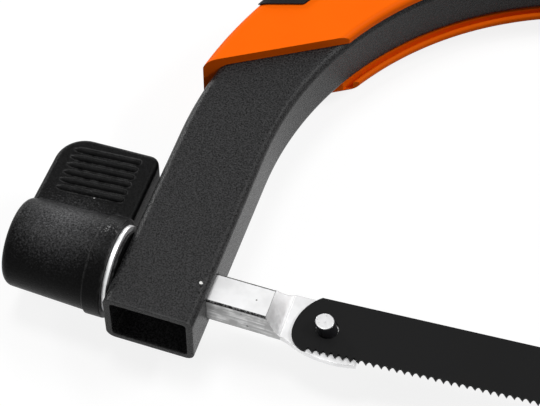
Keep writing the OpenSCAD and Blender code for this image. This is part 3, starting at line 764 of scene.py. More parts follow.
@made_once("materials")
def blade_coat(label):
    """Black Blade Coat: satin paint over rolled steel with faint dust."""
    finish = Finish(label, IOR=1.45, Specular_IOR_Level=0.1)
    grain = finish.effect(grain_group(), Grain_Scale=1900, Pitting=0.2, Tone_Scale=50)
    tone = finish.mix(grain["Tone"], tint("blade", 0.85), tint("blade", 1.15))
    finish.feed("Base Color", finish.mix(finish.specks(230, 0.08, 0.04), tone, grey(0.07)))
    finish.relief(grain["Height"], 0.44, 0.56, 0.01 * MM)
    return finish.material


@made_once("materials")
def ground_steel(label):
    """Ground Steel: the ends of the pins, and nuts, with light turning marks."""
    finish = Finish(label, Metallic=0.75)
    grain = finish.effect(grain_group(), Grain_Scale=1700, Pitting=0.2, Tone_Scale=400)
    tone = finish.mix(grain["Tone"], tint("steel", 0.85), tint("steel", 1.15))
    finish.feed("Base Color", finish.mix(finish.edge_wear_and_painted_light(0.2 * MM, 0.5, 1500), tone, tint("steel", 1.35)))
    finish.relief(grain["Height"], 0.26, 0.42, 0.01 * MM)
    return finish.material


@made_once("materials")
def screw_black(label):
    """Blackened Steel: a thin black finish that is rubbed on its edges."""
    finish = Finish(label, Metallic=0.7)
    grain = finish.effect(grain_group(), Grain_Scale=1600, Pitting=0.3, Tone_Scale=200)
    tone = finish.mix(grain["Tone"], (0.02, 0.02, 0.022), (0.045, 0.045, 0.05))
    finish.feed("Base Color", finish.mix(finish.edge_wear_and_painted_light(0.2 * MM, 0.8, 1200), tone, (0.35, 0.35, 0.36)))
    finish.relief(grain["Height"], 0.32, 0.5, 0.015 * MM)
    return finish.material


def plated_zinc(label, share, metal):
    """Plated steel: drawn lines, a cloudy plating, greyer edges and a dark ring round the pin."""
    finish = Finish(label, Metallic=metal, Specular_IOR_Level=0.2)
    lean = bpy.context.scene.saw_sizes.leg_lean
    streaks = finish.effect(streak_group(), Turn=lean, Lines=1500, Stretch=0.15, Clouds=260)
    speck = finish.mark(SPECK_PLACE, Radius=0.16 * MM, Break_Up=2500, Cover=0.9)
    # Painted shadow: the zinc round the pin's root is painted near black.
    painted_pin_shadow = finish.mark(PIN_SHADOW_PLACE, Radius=2.4 * MM, Break_Up=2000, Cover=1.1)
    clouds = finish.fit(streaks["Clouds"], 0.35, 0.65)
    # The share gives lighter and darker painted copies of the same zinc.
    cloudy = finish.mix(clouds, tint("zinc", 0.9 * share), tint("zinc", 1.03 * share))
    pitted = finish.mix(finish.specks(330, 0.1, 0.02), cloudy, grey(0.4))
    # Painted shade: the edges are painted grey as dark lines along them.
    edge_shaded = finish.mix(finish.edge_wear_and_painted_light(0.3 * MM, 0.8, 300), pitted, grey(0.36))
    ringed = finish.mix(painted_pin_shadow, edge_shaded, grey(0.012))
    finish.feed("Base Color", finish.mix(speck, ringed, grey(0.03)))
    finish.relief(streaks["Lines"], 0.36, 0.5, 0.006 * MM)
    return finish.material


@made_once("materials")
def zinc_painted_lighter(label):
    """Bright Zinc: the plating of the forged ramp, the paddle's edge and the washer."""
    # Painted light: a lighter copy of the zinc.
    return plated_zinc(label, 1.08, 0.8)


@made_once("materials")
def flat_zinc(label):
    """Flat Zinc: the plating of the bar's and the paddle's flat tops, a little greyer than the ramp's."""
    return plated_zinc(label, 0.72, 0.45)


@made_once("materials")
def zinc_painted_shaded(label):
    """Dull Zinc: the sides of the bar, brushed and greyer than its top."""
    finish = Finish(label, Metallic=0.6, Specular_IOR_Level=0.2)
    lean = bpy.context.scene.saw_sizes.leg_lean
    streaks = finish.effect(streak_group(), Turn=lean, Lines=1500, Stretch=0.06, Clouds=420)
    # Painted shade: the sides' base is greyer than the top's.
    lines = finish.mix(finish.fit(streaks["Lines"], 0.38, 0.62), grey(0.52), grey(1))
    cloudy = finish.mix(finish.fit(streaks["Clouds"], 0.35, 0.6), grey(0.5), lines)
    finish.feed("Base Color", finish.mix(finish.specks(700, 0.22, 0.12), cloudy, grey(0.12)))
    finish.relief(streaks["Lines"], 0.42, 0.6, 0.012 * MM)
    return finish.material


@made_once("materials")
def zinc_painted_dark_edge(label):
    """Dark Bar Edge: the broken edges of the bar, where the plating is thin and speckled."""
    finish = Finish(label, Metallic=0.5, Roughness=0.5, Specular_IOR_Level=0.2)
    grain = finish.effect(grain_group(), Grain_Scale=2600, Pitting=0.4, Tone_Scale=500)
    speckled = finish.fit(grain["Height"], 0.42, 0.6)
    # Painted reflection: the bevel is painted near black with light speckles.
    finish.feed("Base Color", finish.mix(speckled, grey(0.006), grey(0.16)))
    finish.bump(grain["Height"], 0.03 * MM)
    return finish.material


# ---------------------------------------------------------------- the frame's sweep
def rounded_section(width, thickness, radius, steps=6):
    """Rounded rectangle in the XY plane."""
    bm = bmesh.new()
    x, y = width / 2, thickness / 2
    face = polygon(bm, [(-x, -y), (x, -y), (x, y), (-x, y)])
    round_corners(bm, face.verts, radius, steps)
    return bm


def stand_section(bm, point, turned):
    """Stand an XY section across the centre line: X points away from the throat, Y along Z."""
    out = heading(turned)
    return moved(bm, facing(out, UP, out.cross(UP), point))


def only_face(bm):
    """The one face that a section holds."""
    bm.faces.ensure_lookup_table()
    return bm.faces[0]


def swept_frame(size, section, extra=0.0):
    """The whole frame's centre line swept with a section, further by extra at both ends."""
    plan = Layout(size)
    leg_turned = math.pi - size.leg_lean
    out = heading(leg_turned)
    along = out.cross(UP)
    leg_run = plan.leg_length + size.leg_tail + extra
    bm = stand_section(section, plan.front_centre + out * size.front_bend - along * leg_run, leg_turned)
    face = pull(bm, only_face(bm), along * leg_run)
    face = turn(bm, face, plan.front_centre, leg_turned - math.pi / 2, 72)
    face = pull(bm, face, (plan.rear_centre.x - plan.front_centre.x, 0, 0))
    face = turn(bm, face, plan.rear_centre, math.pi / 2, 48)
    pull(bm, face, (0, plan.rear_end - extra - plan.rear_centre.y, 0))
    clear_inside(bm)
    return bm


def build_tube(size):
    """The bent tube: hollow, open at both ends, with its square and round holes."""
    plan = Layout(size)
    wall = size.tube_wall
    outer = rounded_section(size.tube_width, size.tube_thickness, size.tube_corner, 8)
    inner_corner = size.tube_corner - wall + 0.3 * MM
    inner = rounded_section(size.tube_width - 2 * wall, size.tube_thickness - 2 * wall, inner_corner, 4)
    bm = swept_frame(size, outer)
    hole = size.bar_side + HOLE_PLAY
    to_saw = saw_place(size).inverted()
    half = size.tube_width / 2
    bush_hole = rod(size.shank / 2 + 1.6 * MM, half - 3 * wall, half + 2 * wall)
    bm = cut(
        bm,
        swept_frame(size, inner, extra=1 * MM),
        moved(block(4 * wall, hole, hole, (half, 0, 0)), to_saw @ leg_place(size)),
        moved(bush_hole, to_saw @ knob_place(size)),
        block(4 * wall, hole, hole, (plan.rear_leg_x - half, -size.bar_drop, 0)),
    )
    soften(bm, 0.22 * MM, 2, 50)
    return moved(bm, saw_place(size))


# ---------------------------------------------------------------- saddle
def outer_sweep(size, bm, run_to, front=None):
    """Sweep a section over the front bend, up to a plane if one is given, and on along the spine."""
    plan = Layout(size)
    start = size.saddle_from + math.radians(22)        # far enough round to be cut off at a slant
    stand_section(bm, plan.front_centre + heading(start) * size.front_bend, start)
    face = turn(bm, only_face(bm), plan.front_centre, start - math.pi / 2, 64)
    if front:
        slice_off(bm, *front)
        face = max((f for f in bm.faces if f.normal.x > 0.99), key=lambda f: f.calc_area())
    pull(bm, face, (run_to - plan.front_centre.x, 0, 0))
    clear_inside(bm)
    return bm


def slice_off(bm, point, normal):
    """Cut away what lies beyond a plane and close the cut."""
    bmesh.ops.bisect_plane(
        bm, geom=bm.verts[:] + bm.edges[:] + bm.faces[:], dist=HAIR, plane_co=point,
        plane_no=normal, clear_outer=True, clear_inner=False,
    )
    bmesh.ops.holes_fill(bm, edges=[e for e in bm.edges if e.is_boundary], sides=0)
    bmesh.ops.recalc_face_normals(bm, faces=bm.faces)


def slanted_cut(size, turned, radius, slope):
    """Point and normal of a slanted front edge that starts at an angle round the front bend."""
    plan = Layout(size)
    return plan.front_centre + heading(turned) * radius, heading(slope - math.pi / 2)


def saddle_cut(size):
    """The slanted front edge of the saddle."""
    return slanted_cut(size, size.saddle_from, size.front_bend - size.tube_width / 2, size.saddle_slope)


def pad_front(size, inset=0.0):
    """Block that cuts the pad's slanted front edge, with a shallow V ridge at the saddle's back."""
    turned = size.saddle_from + math.radians(1)
    point, normal = slanted_cut(size, turned, size.front_bend + size.tube_width / 4, size.pad_slope)
    height = size.tube_thickness / 2 + size.saddle_wall + size.pad_proud
    reach = 3 * size.tube_width
    flank = 0.7 * (reach - height) - inset
    bm = prism([
        (reach, -reach), (reach, reach), (flank, reach), (-inset - 0.7 * height, 0), (flank, -reach),
    ], 2 * reach)
    across = normal.cross(UP)
    return moved(bm, facing(normal, UP, across, point - across * reach))


def saddle_section(size):
    """C section that clasps the tube: flush at the near side, with a lip at the far side."""
    bm = bmesh.new()
    w, t = size.tube_width / 2, size.tube_thickness / 2
    wall, lip = size.saddle_wall, size.saddle_lip
    groove = -t - 0.85 * wall
    corners = polygon(bm, [
        (-w, t + FIT), (-w, t + wall), (w + wall, t + wall), (w + wall, -t - wall),
        (-w - lip, -t - wall), (-w - lip, -t - FIT), (-w - lip / 2, -t - FIT),
        (-w - lip / 2, groove), (-w + lip / 3, groove), (-w + lip / 3, -t - FIT),
        (w + FIT, -t - FIT), (w + FIT, t + FIT),
    ]).verts[:]
    round_corners(bm, [corners[1]], 0.6 * wall, 6)
    round_corners(bm, corners[2:4], wall, 8)
    round_corners(bm, [corners[4]], 0.5 * wall, 6)
    round_corners(bm, [corners[5]], 0.45 * lip, 5)
    round_corners(bm, corners[10:12], size.tube_corner, 6)
    return bm


def pad_section(size, proud, depth, edge):
    """C section on the saddle's outer side, from the recess's floor to proud of the saddle."""
    bm = bmesh.new()
    half = size.tube_thickness / 2 + size.saddle_wall
    out = size.tube_width / 2 + size.saddle_wall
    corners = polygon(bm, [
        (edge, half - depth), (edge, half + proud), (out + proud, half + proud),
        (out + proud, -half - proud), (edge, -half - proud), (edge, -half + depth),
        (out - depth, -half + depth), (out - depth, half - depth),
    ]).verts[:]
    round_corners(bm, corners[2:4], size.saddle_wall + proud, 8)
    round_corners(bm, corners[6:8], size.saddle_wall - depth, 5)
    return bm


def build_saddle(size):
    """The orange shell: clasping walls, slanted ends and the recess for its pad."""
    plan = Layout(size)
    run_to = size.saddle_end + size.saddle_wall
    bm = outer_sweep(size, saddle_section(size), run_to, saddle_cut(size))
    rear_end = Vector((size.saddle_end, plan.spine_y + size.tube_width / 2, 0))
    slice_off(bm, rear_end, heading(math.radians(-40)))
    recess = pad_section(size, 2 * size.pad_proud, size.pad_recess, size.pad_edge)
    bm = cut(bm, cut(outer_sweep(size, recess, size.saddle_end - PAD_END), pad_front(size)))
    soften(bm, 0.4 * MM, 4, 30)
    return moved(bm, saw_place(size))


def build_pad(size):
    """The soft pad on the saddle, with well rounded edges."""
    section = pad_section(size, size.pad_proud, size.pad_recess - FIT, size.pad_edge + FIT)
    bm = cut(outer_sweep(size, section, size.saddle_end - PAD_END - FIT), pad_front(size, FIT))
    soften(bm, 0.4 * MM, 4, 30)
    return moved(bm, saw_place(size))


# ---------------------------------------------------------------- bars, pins and blade
def ramp_side(size):
    """Side view of the forged end, in the XZ plane as (x, z) points."""
    plan = Layout(size)
    low = -size.bar_side / 2
    steps, hollow = 12, 0.6
    points = [(-size.ramp_start, low)]
    for k in range(steps + 1):
        t = k / steps
        drop = 1 - ((1 - hollow) * t + hollow * math.sin(t * math.pi / 2))
        x = (size.ramp_start - size.ramp_foot) * t - size.ramp_start
        points.append((x, plan.paddle_top + (size.bar_side - size.paddle_thickness) * drop))
    return points + [(size.paddle_end, plan.paddle_top), (size.paddle_end, low)]


def paddle_outline(size):
    """Plan of the paddle: a straight back that runs out from the bar and an arc on the toothed side."""
    bar_low = -size.bar_drop - size.bar_side / 2
    back, back_end = 6.1 * MM, 6.6 * MM             # how far the back lies from the pin, at its two ends
    low = 6.8 * MM                                  # how far the arc reaches on the toothed side
    radius, middle = 22 * MM, 1.9 * MM              # of that arc, whose middle lies past the pin
    below = -math.pi / 2
    start = below + math.asin((-size.ramp_foot - middle) / radius)
    end = below + math.asin((size.paddle_end - middle) / radius)
    bulge = arc((middle, radius - low), radius, start, end, 24)
    return [
        (-size.ramp_start, bar_low), (-size.ramp_foot, bar_low),
        *((x, y) for x, y in bulge if y < bar_low or x > 0),
        (size.paddle_end, back_end), (-size.ramp_foot, back), (-size.ramp_start, bar_low + size.bar_side),
    ]


def leaning_pin(size, extra=0.0, narrower=0.0):
    """Pin through the paddle that leans away from the blade's middle."""
    plan = Layout(size)
    low, top = -size.bar_side / 2 - extra, plan.blade_top + size.pin_proud + extra
    pin = rod(size.pin_diameter / 2 - narrower, -4 * size.bar_side, 4 * size.bar_side)
    moved(pin, Matrix.Translation((0, 0, plan.blade_top)) @ Matrix.Rotation(-size.pin_lean, 4, "Y"))
    slice_off(pin, (0, 0, low), -UP)
    slice_off(pin, (0, 0, top), UP)
    return pin


def bar_with_paddle(size, reach):
    """Square bar with broken edges and a forged, flattened end; the pin is at the origin."""
    side = size.bar_side
    square = rounded_section(side, side, BAR_EDGE, 3)
    pull(square, only_face(square), (0, 0, reach - size.ramp_start))
    moved(square, facing((0, 1, 0), UP, (1, 0, 0), (-reach, -size.bar_drop, 0)))
    bmesh.ops.recalc_face_normals(square, faces=square.faces)
    ramp = moved(prism(ramp_side(size), 6 * side), facing((1, 0, 0), UP, (0, -1, 0), (0, 3 * side, 0)))
    paddle = moved(prism(paddle_outline(size), side), Matrix.Translation((0, 0, -side / 2)))
    forged = combine(paddle, ramp, "INTERSECT")
    soften(forged, 0.12 * MM, 2, 35)
    bm = combine(square, forged, "UNION")
    return cut(bm, leaning_pin(size, extra=1 * MM))


def threaded_shank(size, low, high):
    """Shank with a rolled thread, one ring for each turn."""
    pitch, depth = 1 * MM, 0.45 * MM
    crest = size.shank / 2
    turns = int((high - low) / pitch)
    outline = [(0, low)]
    for k in range(turns):
        outline.append((crest - depth, low + k * pitch))
        outline.append((crest, low + (k + 0.5) * pitch))
    return lathe(outline + [(crest - depth, low + turns * pitch), (0, low + turns * pitch)], 32)


def zinc_faces(obj, bar_ends, ramp):
    """Duller zinc on the bar's sides, a dark line on its broken edges and grey flat tops."""
    for finish in (zinc_painted_shaded, zinc_painted_dark_edge, flat_zinc):
        obj.data.materials.append(finish())
    sides, edges, flats = 1, 2, 3
    low, high = bar_ends
    # Faces are sorted by the way they turn: sides and bevels get zinc painted as shade, and the ramp and
    # paddle edge keep zinc painted lighter.
    for face in obj.data.polygons:
        upright = abs(face.normal.z)
        outside = max(low - face.center.x, face.center.x - high)
        if upright > (0.98 if outside < 0 else 0.75):
            face.material_index = flats
        elif upright < 0.2 and outside < ramp:
            face.material_index = sides
        elif outside < 0:
            face.material_index = edges


def shade_pin_sides(obj):
    """Give a pin's sides a darker finish than its ground ends."""
    obj.data.materials.append(screw_black())
    for face in obj.data.polygons:
        # The sides are painted dark as shade.
        if abs(face.normal.z) < 0.8:
            face.material_index = 1


def build_pin(name, size, place, body, node):
    """A leaning blade pin with a ground end and darker sides."""
    pin = leaning_pin(size, narrower=PIN_PLAY)
    soften(pin, 0.22 * MM, 3, 50)
    shade_pin_sides(piece(name, moved(pin, place), body, ground_steel(), [node]))


def blade_nose(size):
    """Rounded end of the blade from the back edge to the teeth."""
    back, tooth_line = size.hole_drop + size.blade_width / 2, size.hole_drop - size.blade_width / 2
    nose_y = size.hole_drop - 2.1 * MM              # where the two arcs of the nose meet
    high_turn, low_turn = math.radians(52.8), math.radians(71)
    high_r = (back - nose_y) / math.sin(high_turn)
    low_r = (nose_y - tooth_line) / math.sin(low_turn)
    steps = 14
    high = arc((high_r - size.blade_end, nose_y), high_r, math.pi - high_turn, math.pi, steps)
    low = arc((low_r - size.blade_end, nose_y), low_r, math.pi, math.pi + low_turn, steps)
    return high + low[1:]


def build_blade(size):
    """Blade with rounded ends, two holes and a wavy set of hooked teeth."""
    plan = Layout(size)
    nose = blade_nose(size)
    tooth_line = size.hole_drop - size.blade_width / 2
    run = size.hole_span - 2 * nose[-1][0]
    count = int(run / size.tooth_pitch)
    start = nose[-1][0] + (run - count * size.tooth_pitch) / 2
    tooth = [(0, 0), (0.06, 0.45), (0.16, 0.82), (0.3, 1), (0.46, 0.93), (0.62, 0.66), (0.82, 0.28)]
    outline = nose + [
        (start + (i + x) * size.tooth_pitch, tooth_line + size.gullet * y)
        for i in range(count) for x, y in tooth
    ]
    outline.append((start + count * size.tooth_pitch, tooth_line))
    outline += [(size.hole_span - x, y) for x, y in reversed(nose)]
    bm = bmesh.new()
    verts = [bm.verts.new((x, y, 0)) for x, y in outline]
    edges = [bm.edges.new(pair) for pair in zip(verts, verts[1:] + verts[:1])]
    for x in (0, size.hole_span):
        ring = bmesh.ops.create_circle(
            bm, segments=40, radius=size.blade_hole / 2, matrix=Matrix.Translation((x, 0, 0))
        )["verts"]
        edges += list(dict.fromkeys(e for v in ring for e in v.link_edges))
    bmesh.ops.triangle_fill(bm, edges=edges, use_beauty=True, use_dissolve=False, normal=UP)
    bmesh.ops.recalc_face_normals(bm, faces=bm.faces)
    made = bmesh.ops.extrude_face_region(bm, geom=bm.faces[:])["geom"]
    top = [g for g in made if isinstance(g, bmesh.types.BMVert)]
    bmesh.ops.translate(bm, verts=top, vec=(0, 0, size.blade_thickness))
    bmesh.ops.recalc_face_normals(bm, faces=bm.faces)
    root = tooth_line + size.gullet
    clear = size.paddle_end + 6 * MM                    # the teeth over the paddles aren't set
    for v in bm.verts:
        if v.co.y < root and clear < v.co.x < size.hole_span - clear:
            share = (root - v.co.y) / size.gullet
            ease = min(1, min(v.co.x, size.hole_span - v.co.x) / clear - 1)
            wave = math.sin(v.co.x / size.tooth_pitch * math.pi / 3)
            v.co.z += size.tooth_set * wave * share * ease
    moved(bm, Matrix.Translation((-BLADE_SHIFT, 0, plan.paddle_top)))
    return moved(bm, saw_place(size))


# ---------------------------------------------------------------- knob
def build_knob(size):
    """Knob moulding: a tapered barrel with one ribbed wing and soft webs between them."""
    plan = Layout(size)
    tip, low = plan.knob_tip, plan.washer_face + size.collar_length
    corner = (size.barrel_end / 2 - BARREL_EDGE, tip - BARREL_EDGE)
    rounding = arc(corner, BARREL_EDGE, 0, math.pi / 2, 8)
    barrel = lathe([(0, low), (size.barrel_root / 2, low), *rounding, (0, tip)], 128)
    to_wing = wing_place(size).inverted() @ knob_place(size)
    bm = combine(moved(barrel, to_wing), build_wing(size), "UNION")
    web_start = 0.04 * MM                           # clear of the collar's seat
    for side in (-1, 1):
        web = build_web(size, side, low + web_start, tip - BARREL_EDGE)
        bm = combine(bm, web, "UNION")
    end_wall = 2.5 * MM
    bore = rod(size.shank / 2 + KNOB_BORE, 0, tip - end_wall)
    collar_room = rod(size.collar / 2, 0, low + FIT)
    bm = cut(bm, moved(collar_room, to_wing), moved(bore, to_wing))
    return moved(bm, wing_place(size))


def build_wing(size):
    """Wing of the knob with its rounded rim and its grip ribs."""
    plan = Layout(size)
    first_rib = size.wing_reach - 3 * MM
    outer_corner, inner_corner, rim_edge = 6.2 * MM, 2.2 * MM, 1.4 * MM
    low, reach = plan.washer_face + size.wing_gap, size.wing_reach
    tip = plan.knob_tip - 0.06 * MM
    wing = bmesh.new()
    corners = polygon(wing, [
        (low, 0), (tip, 0), (tip - WING_SLOPE, reach - WING_SLOPE), (low, reach),
    ]).verts[:]
    moved(wing, Matrix.Translation((0, 0, -size.wing_thickness / 2)))
    round_corners(wing, [corners[2]], outer_corner, 14)
    round_corners(wing, [corners[3]], inner_corner, 8)
    pull(wing, only_face(wing), (0, 0, size.wing_thickness))
    bmesh.ops.recalc_face_normals(wing, faces=wing.faces)
    rim = [e for e in wing.edges if abs(e.verts[0].co.z - e.verts[1].co.z) < 0.01 * MM]
    round_edges(wing, rim, rim_edge, 5)
    for side in (-1, 1):
        for i in range(size.rib_count):
            rib = build_rib(size, low, first_rib - i * size.rib_pitch, side)
            wing = combine(wing, rib, "UNION")
    return wing


def build_rib(size, low, y, side):
    """Grip rib of a wing: a half round ridge that tapers towards its outer end."""
    r, run, start = 0.8 * MM, 15.2 * MM, 3.4 * MM   # radius, length and distance from the wing's root
    lean = math.radians(-4.1)
    rib = lathe([
        (0, 0), (0.55 * r, 0.12 * r), (0.87 * r, 0.5 * r), (r, r),
        (r, run - 3.4 * r), (0.8 * r, run - 1.6 * r), (0.4 * r, run - 0.4 * r), (0, run),
    ], 24)
    height = side * (size.wing_thickness / 2 - 0.15 * MM)      # sunk a little into the wing
    return moved(
        rib,
        Matrix.Translation((low + start, y, height))
        @ Matrix.Rotation(lean, 4, "Z")
        @ Matrix.Rotation(math.pi / 2, 4, "Y"),
    )


def build_web(size, side, low, high):
    """Fillet between one face of the wing and the barrel."""
    root = size.barrel_end / 2 - 0.4 * MM           # starts inside the barrel
    rise = size.wing_thickness / 2 + WEB
    reach = math.sqrt((root + WEB) ** 2 - rise ** 2)
    hollow = arc((reach, rise), WEB, -math.pi / 2, math.atan2(-rise, -reach), 8)
    bm = prism([(0, 0), (reach, 0), *hollow], high - low)
    return moved(bm, facing((0, 1, 0), (0, 0, side), (1, 0, 0), (low, 0, 0)))


def ring(inner, outer, low, high, edge):
    """Flat ring about Z with rounded edges."""
    bm = lathe([(inner, low), (outer, low), (outer, high), (inner, high)], 96, closed=True)
    soften(bm, edge, 3, 60)
    return bm


def build_bush(size):
    """Flanged bush in the leg's outer wall."""
    half = size.tube_width / 2
    inside, face = half - size.tube_wall, half + size.bush_thickness
    bore, spigot = size.shank / 2 + 0.05 * MM, size.shank / 2 + 1.55 * MM       # radii
    bm = lathe([
        (bore, inside), (spigot, inside), (spigot, half),
        (size.bush / 2, half), (size.bush / 2, face), (bore, face),
    ], closed=True)
    soften(bm, 0.2 * MM, 3, 60)
    return moved(bm, knob_place(size))


# ---------------------------------------------------------------- handle
def oval_point(width, thickness, turned, fullness=0.55):
    """Point of a full oval."""
    def side(value):
        return math.copysign(abs(value) ** fullness, value)
    return Vector((width / 2 * side(math.cos(turned)), thickness / 2 * side(math.sin(turned)), 0))


class Loop:
    """The handle's closed loop: its corners, and the stations round it."""

    def __init__(self, size):
        plan = Layout(size)
        sleeve = size.tube_width + 2 * size.sleeve_wall
        low = plan.rear_end - size.sleeve_wall + size.bridge_width / 2
        high = low + size.bridge_width + size.finger_length
        x_low = plan.rear_leg_x + sleeve / 2 + size.finger_width + size.grip_width / 2 + 8 * MM
        x_high = x_low - (high - low) * math.tan(size.grip_lean)
        self.corners = [
            Vector((plan.rear_leg_x, low, 0)), Vector((plan.rear_leg_x, high, 0)),
            Vector((x_high, high, 0)), Vector((x_low, low, 0)),
        ]
        leg_fillet, grip_fillet = 15 * MM, 20 * MM
        self.fillets = [leg_fillet, leg_fillet, grip_fillet, grip_fillet]
        self.widths = [sleeve - 2 * MM, size.bridge_width, size.grip_width, size.bridge_width]
        thick = size.handle_thickness
        self.depths = [thick - 2 * MM, thick, size.grip_thickness, thick]
        self.seat = thick / 2 - 5 * MM          # of the screw heads, and as deep down the nuts
        boss_x = plan.rear_leg_x + sleeve / 2 + 6 * MM
        self.screws = [
            Vector((boss_x, low, 0)), Vector((x_low - 3 * MM, low + 1 * MM, 0)),
            Vector((boss_x, high, 0)), Vector((x_high - 3 * MM, high - 1 * MM, 0)),
        ]
        edge = self.corners[3] - self.corners[2]
        start = self.fillets[2] * math.tan((math.pi / 2 - size.grip_lean) / 2)
        end = self.fillets[3] * math.tan((math.pi / 2 + size.grip_lean) / 2)
        self.grip_start = self.corners[2] + edge.normalized() * start
        self.grip_length = edge.length - start - end

    def stations(self, steps):
        """Centre, direction outwards, width and thickness round each of the loop's corners."""
        for i in range(4):
            before, here, after = self.corners[i - 1], self.corners[i], self.corners[(i + 1) % 4]
            a, b = (here - before).normalized(), (after - here).normalized()
            turned = a.angle(b)
            radius = self.fillets[i]
            inward = Vector((a.y, -a.x, 0))
            centre = here - a * radius * math.tan(turned / 2) + inward * radius
            for k in range(steps + 1):
                s = k / steps
                q = turned * s
                out = a * math.sin(q) - inward * math.cos(q)
                ease = s * s * (3 - 2 * s)
                width = self.widths[i - 1] + (self.widths[i] - self.widths[i - 1]) * ease
                depth = self.depths[i - 1] + (self.depths[i] - self.depths[i - 1]) * ease
                yield centre + out * radius, out, width, depth


def add_loop(bm, sides, place):
    """Closed loop of edges through the points that a function gives for the angles round it."""
    verts = bmesh.ops.create_circle(bm, segments=sides, radius=1)["verts"]
    for k, vert in enumerate(verts):
        vert.co = place(2 * math.pi * k / sides)
    return list(dict.fromkeys(e for v in verts for e in v.link_edges))


def bridge(bm, loops):
    """Skin over a row of loops."""
    for here, after in zip(loops, loops[1:]):
        bmesh.ops.bridge_loops(bm, edges=here + after)
    bmesh.ops.recalc_face_normals(bm, faces=bm.faces)


def loop_skin(size, sides=40, steps=10):
    """The handle's loop as rings of ovals, bridged into one closed skin."""
    bm = bmesh.new()
    loops = []
    for centre, out, width, depth in Loop(size).stations(steps):
        def place(turned):
            flat = oval_point(width, depth, turned)
            return centre + out * flat.x + UP * flat.y
        loops.append(add_loop(bm, sides, place))
    bridge(bm, loops + loops[:1])
    return bm


def handle_sleeve(size):
    """Sleeve of the handle around the spine's end, the rear bend and the rear leg."""
    plan = Layout(size)
    width = size.tube_width + 2 * size.sleeve_wall
    bm = rounded_section(width, size.handle_thickness, 5 * MM, 8)
    start = plan.rear_centre.x - size.sleeve_length
    stand_section(bm, Vector((start, plan.spine_y, 0)), math.pi / 2)
    face = pull(bm, only_face(bm), (size.sleeve_length, 0, 0))
    face = turn(bm, face, plan.rear_centre, math.pi / 2, 32)
    pull(bm, face, (0, plan.rear_end - size.sleeve_wall - plan.rear_centre.y, 0))
    clear_inside(bm)
    return bm


def build_handle_halves(size):
    """Both halves of the handle: one moulding, cut for the tube, the bar and the screws, then parted."""
    plan, loop = Layout(size), Loop(size)
    head_room = size.screw / 2 + 1.8 * MM
    boss, boss_top = head_room + 1.7 * MM, size.handle_thickness / 2 - 1.2 * MM
    bosses = [moved(rod(boss, -boss_top, boss_top), Matrix.Translation(at)) for at in loop.screws]
    whole = moulded(joined(loop_skin(size), handle_sleeve(size), *bosses), voxel=0.75 * MM, smoothing=6)
    outer = rounded_section(size.tube_width, size.tube_thickness, size.tube_corner, 4)
    hole = size.bar_side + HOLE_PLAY
    sleeve = size.tube_width + 2 * size.sleeve_wall
    whole = cut(
        whole,
        swept_frame(size, outer),
        block(sleeve, hole, hole, (plan.rear_leg_x - sleeve / 2, -size.bar_drop, 0)),
    )
    out = size.grip_thickness                       # past either face
    for at in loop.screws:
        nut_room = hex_rod(NUT_FLATS * size.screw, -out, -loop.seat)
        shaft = rod(size.screw / 2, -out, out, 32)
        room = rod(head_room, loop.seat, out)
        whole = cut(whole, *(moved(tool, Matrix.Translation(at)) for tool in (nut_room, shaft, room)))
    span = 1.0
    halves = []
    for side in (1, -1):
        keep = block(2 * span, 2 * span, span, (0, 0, side * (span / 2 + SEAM)))
        halves.append(moved(combine(whole.copy(), keep, "INTERSECT"), saw_place(size)))
    whole.free()
    return halves


def hex_rod(across_flats, low, high):
    """Six-sided rod along Z."""
    return rod(across_flats / math.sqrt(3), low, high, 6)


def build_grip_sleeve(size):
    """Soft sleeve round the grip, with finger waves on its front and rounded ends."""
    loop = Loop(size)
    sides, rows, waves = 56, 64, 4
    wave_depth, rounding = 0.9 * MM, 0.12
    inside = 0.004          # the inner rings lie a little inside, or the bridges at the ends twist
    skin = size.grip_sleeve
    bm = bmesh.new()

    def outer(along):
        rise = min(1, math.sin(math.pi * along) / rounding) ** 0.5 if 0 < along < 1 else 0
        wave = 0.5 - 0.5 * math.cos(along * waves * 2 * math.pi)

        def place(turned):
            flat = oval_point(size.grip_width + 2 * skin, size.grip_thickness + 2 * skin, turned)
            front = max(0, -math.cos(turned)) ** 2
            flat -= flat.normalized() * (skin * (1 - rise) * 0.8 + front * wave * wave_depth)
            return Vector((flat.x, -along * loop.grip_length, flat.y))
        return place

    def inner(along):
        def place(turned):
            flat = oval_point(size.grip_width, size.grip_thickness, turned)
            return Vector((flat.x, -along * loop.grip_length, flat.y))
        return place

    outside = [add_loop(bm, sides, outer(k / rows)) for k in range(rows + 1)]
    first, last = (add_loop(bm, sides, inner(along)) for along in (inside, 1 - inside))
    bridge(bm, [first, *outside, last, first])
    place = Matrix.Translation(loop.grip_start) @ Matrix.Rotation(size.grip_lean, 4, "Z")
    return moved(bm, saw_place(size) @ place)


def screw_head(head_d, head_h, shank_d, shank_low, slot_depth):
    """Round head with a cross recess on a plain shank, the head's seat at the origin."""
    r = head_d / 2
    rim = 0.45 * head_h
    dome = [(0.98 * r * x, rim + (head_h - rim) * y) for x, y in arc((0, 0), 1, 0, math.pi / 2, 6)[1:-1]]
    bm = lathe([
        (0, shank_low), (shank_d / 2, shank_low), (shank_d / 2, 0), (r, 0), (r, rim), *dome, (0, head_h),
    ], 48)
    arm, wide = head_d * 0.62, head_d * 0.15
    for turned in (0, math.pi / 2):
        slot = block(arm, wide, 2 * slot_depth)
        bm = cut(bm, moved(slot, Matrix.Translation((0, 0, head_h)) @ Matrix.Rotation(turned, 4, "Z")))
    soften(bm, 0.1 * MM, 2, 50)
    return bm


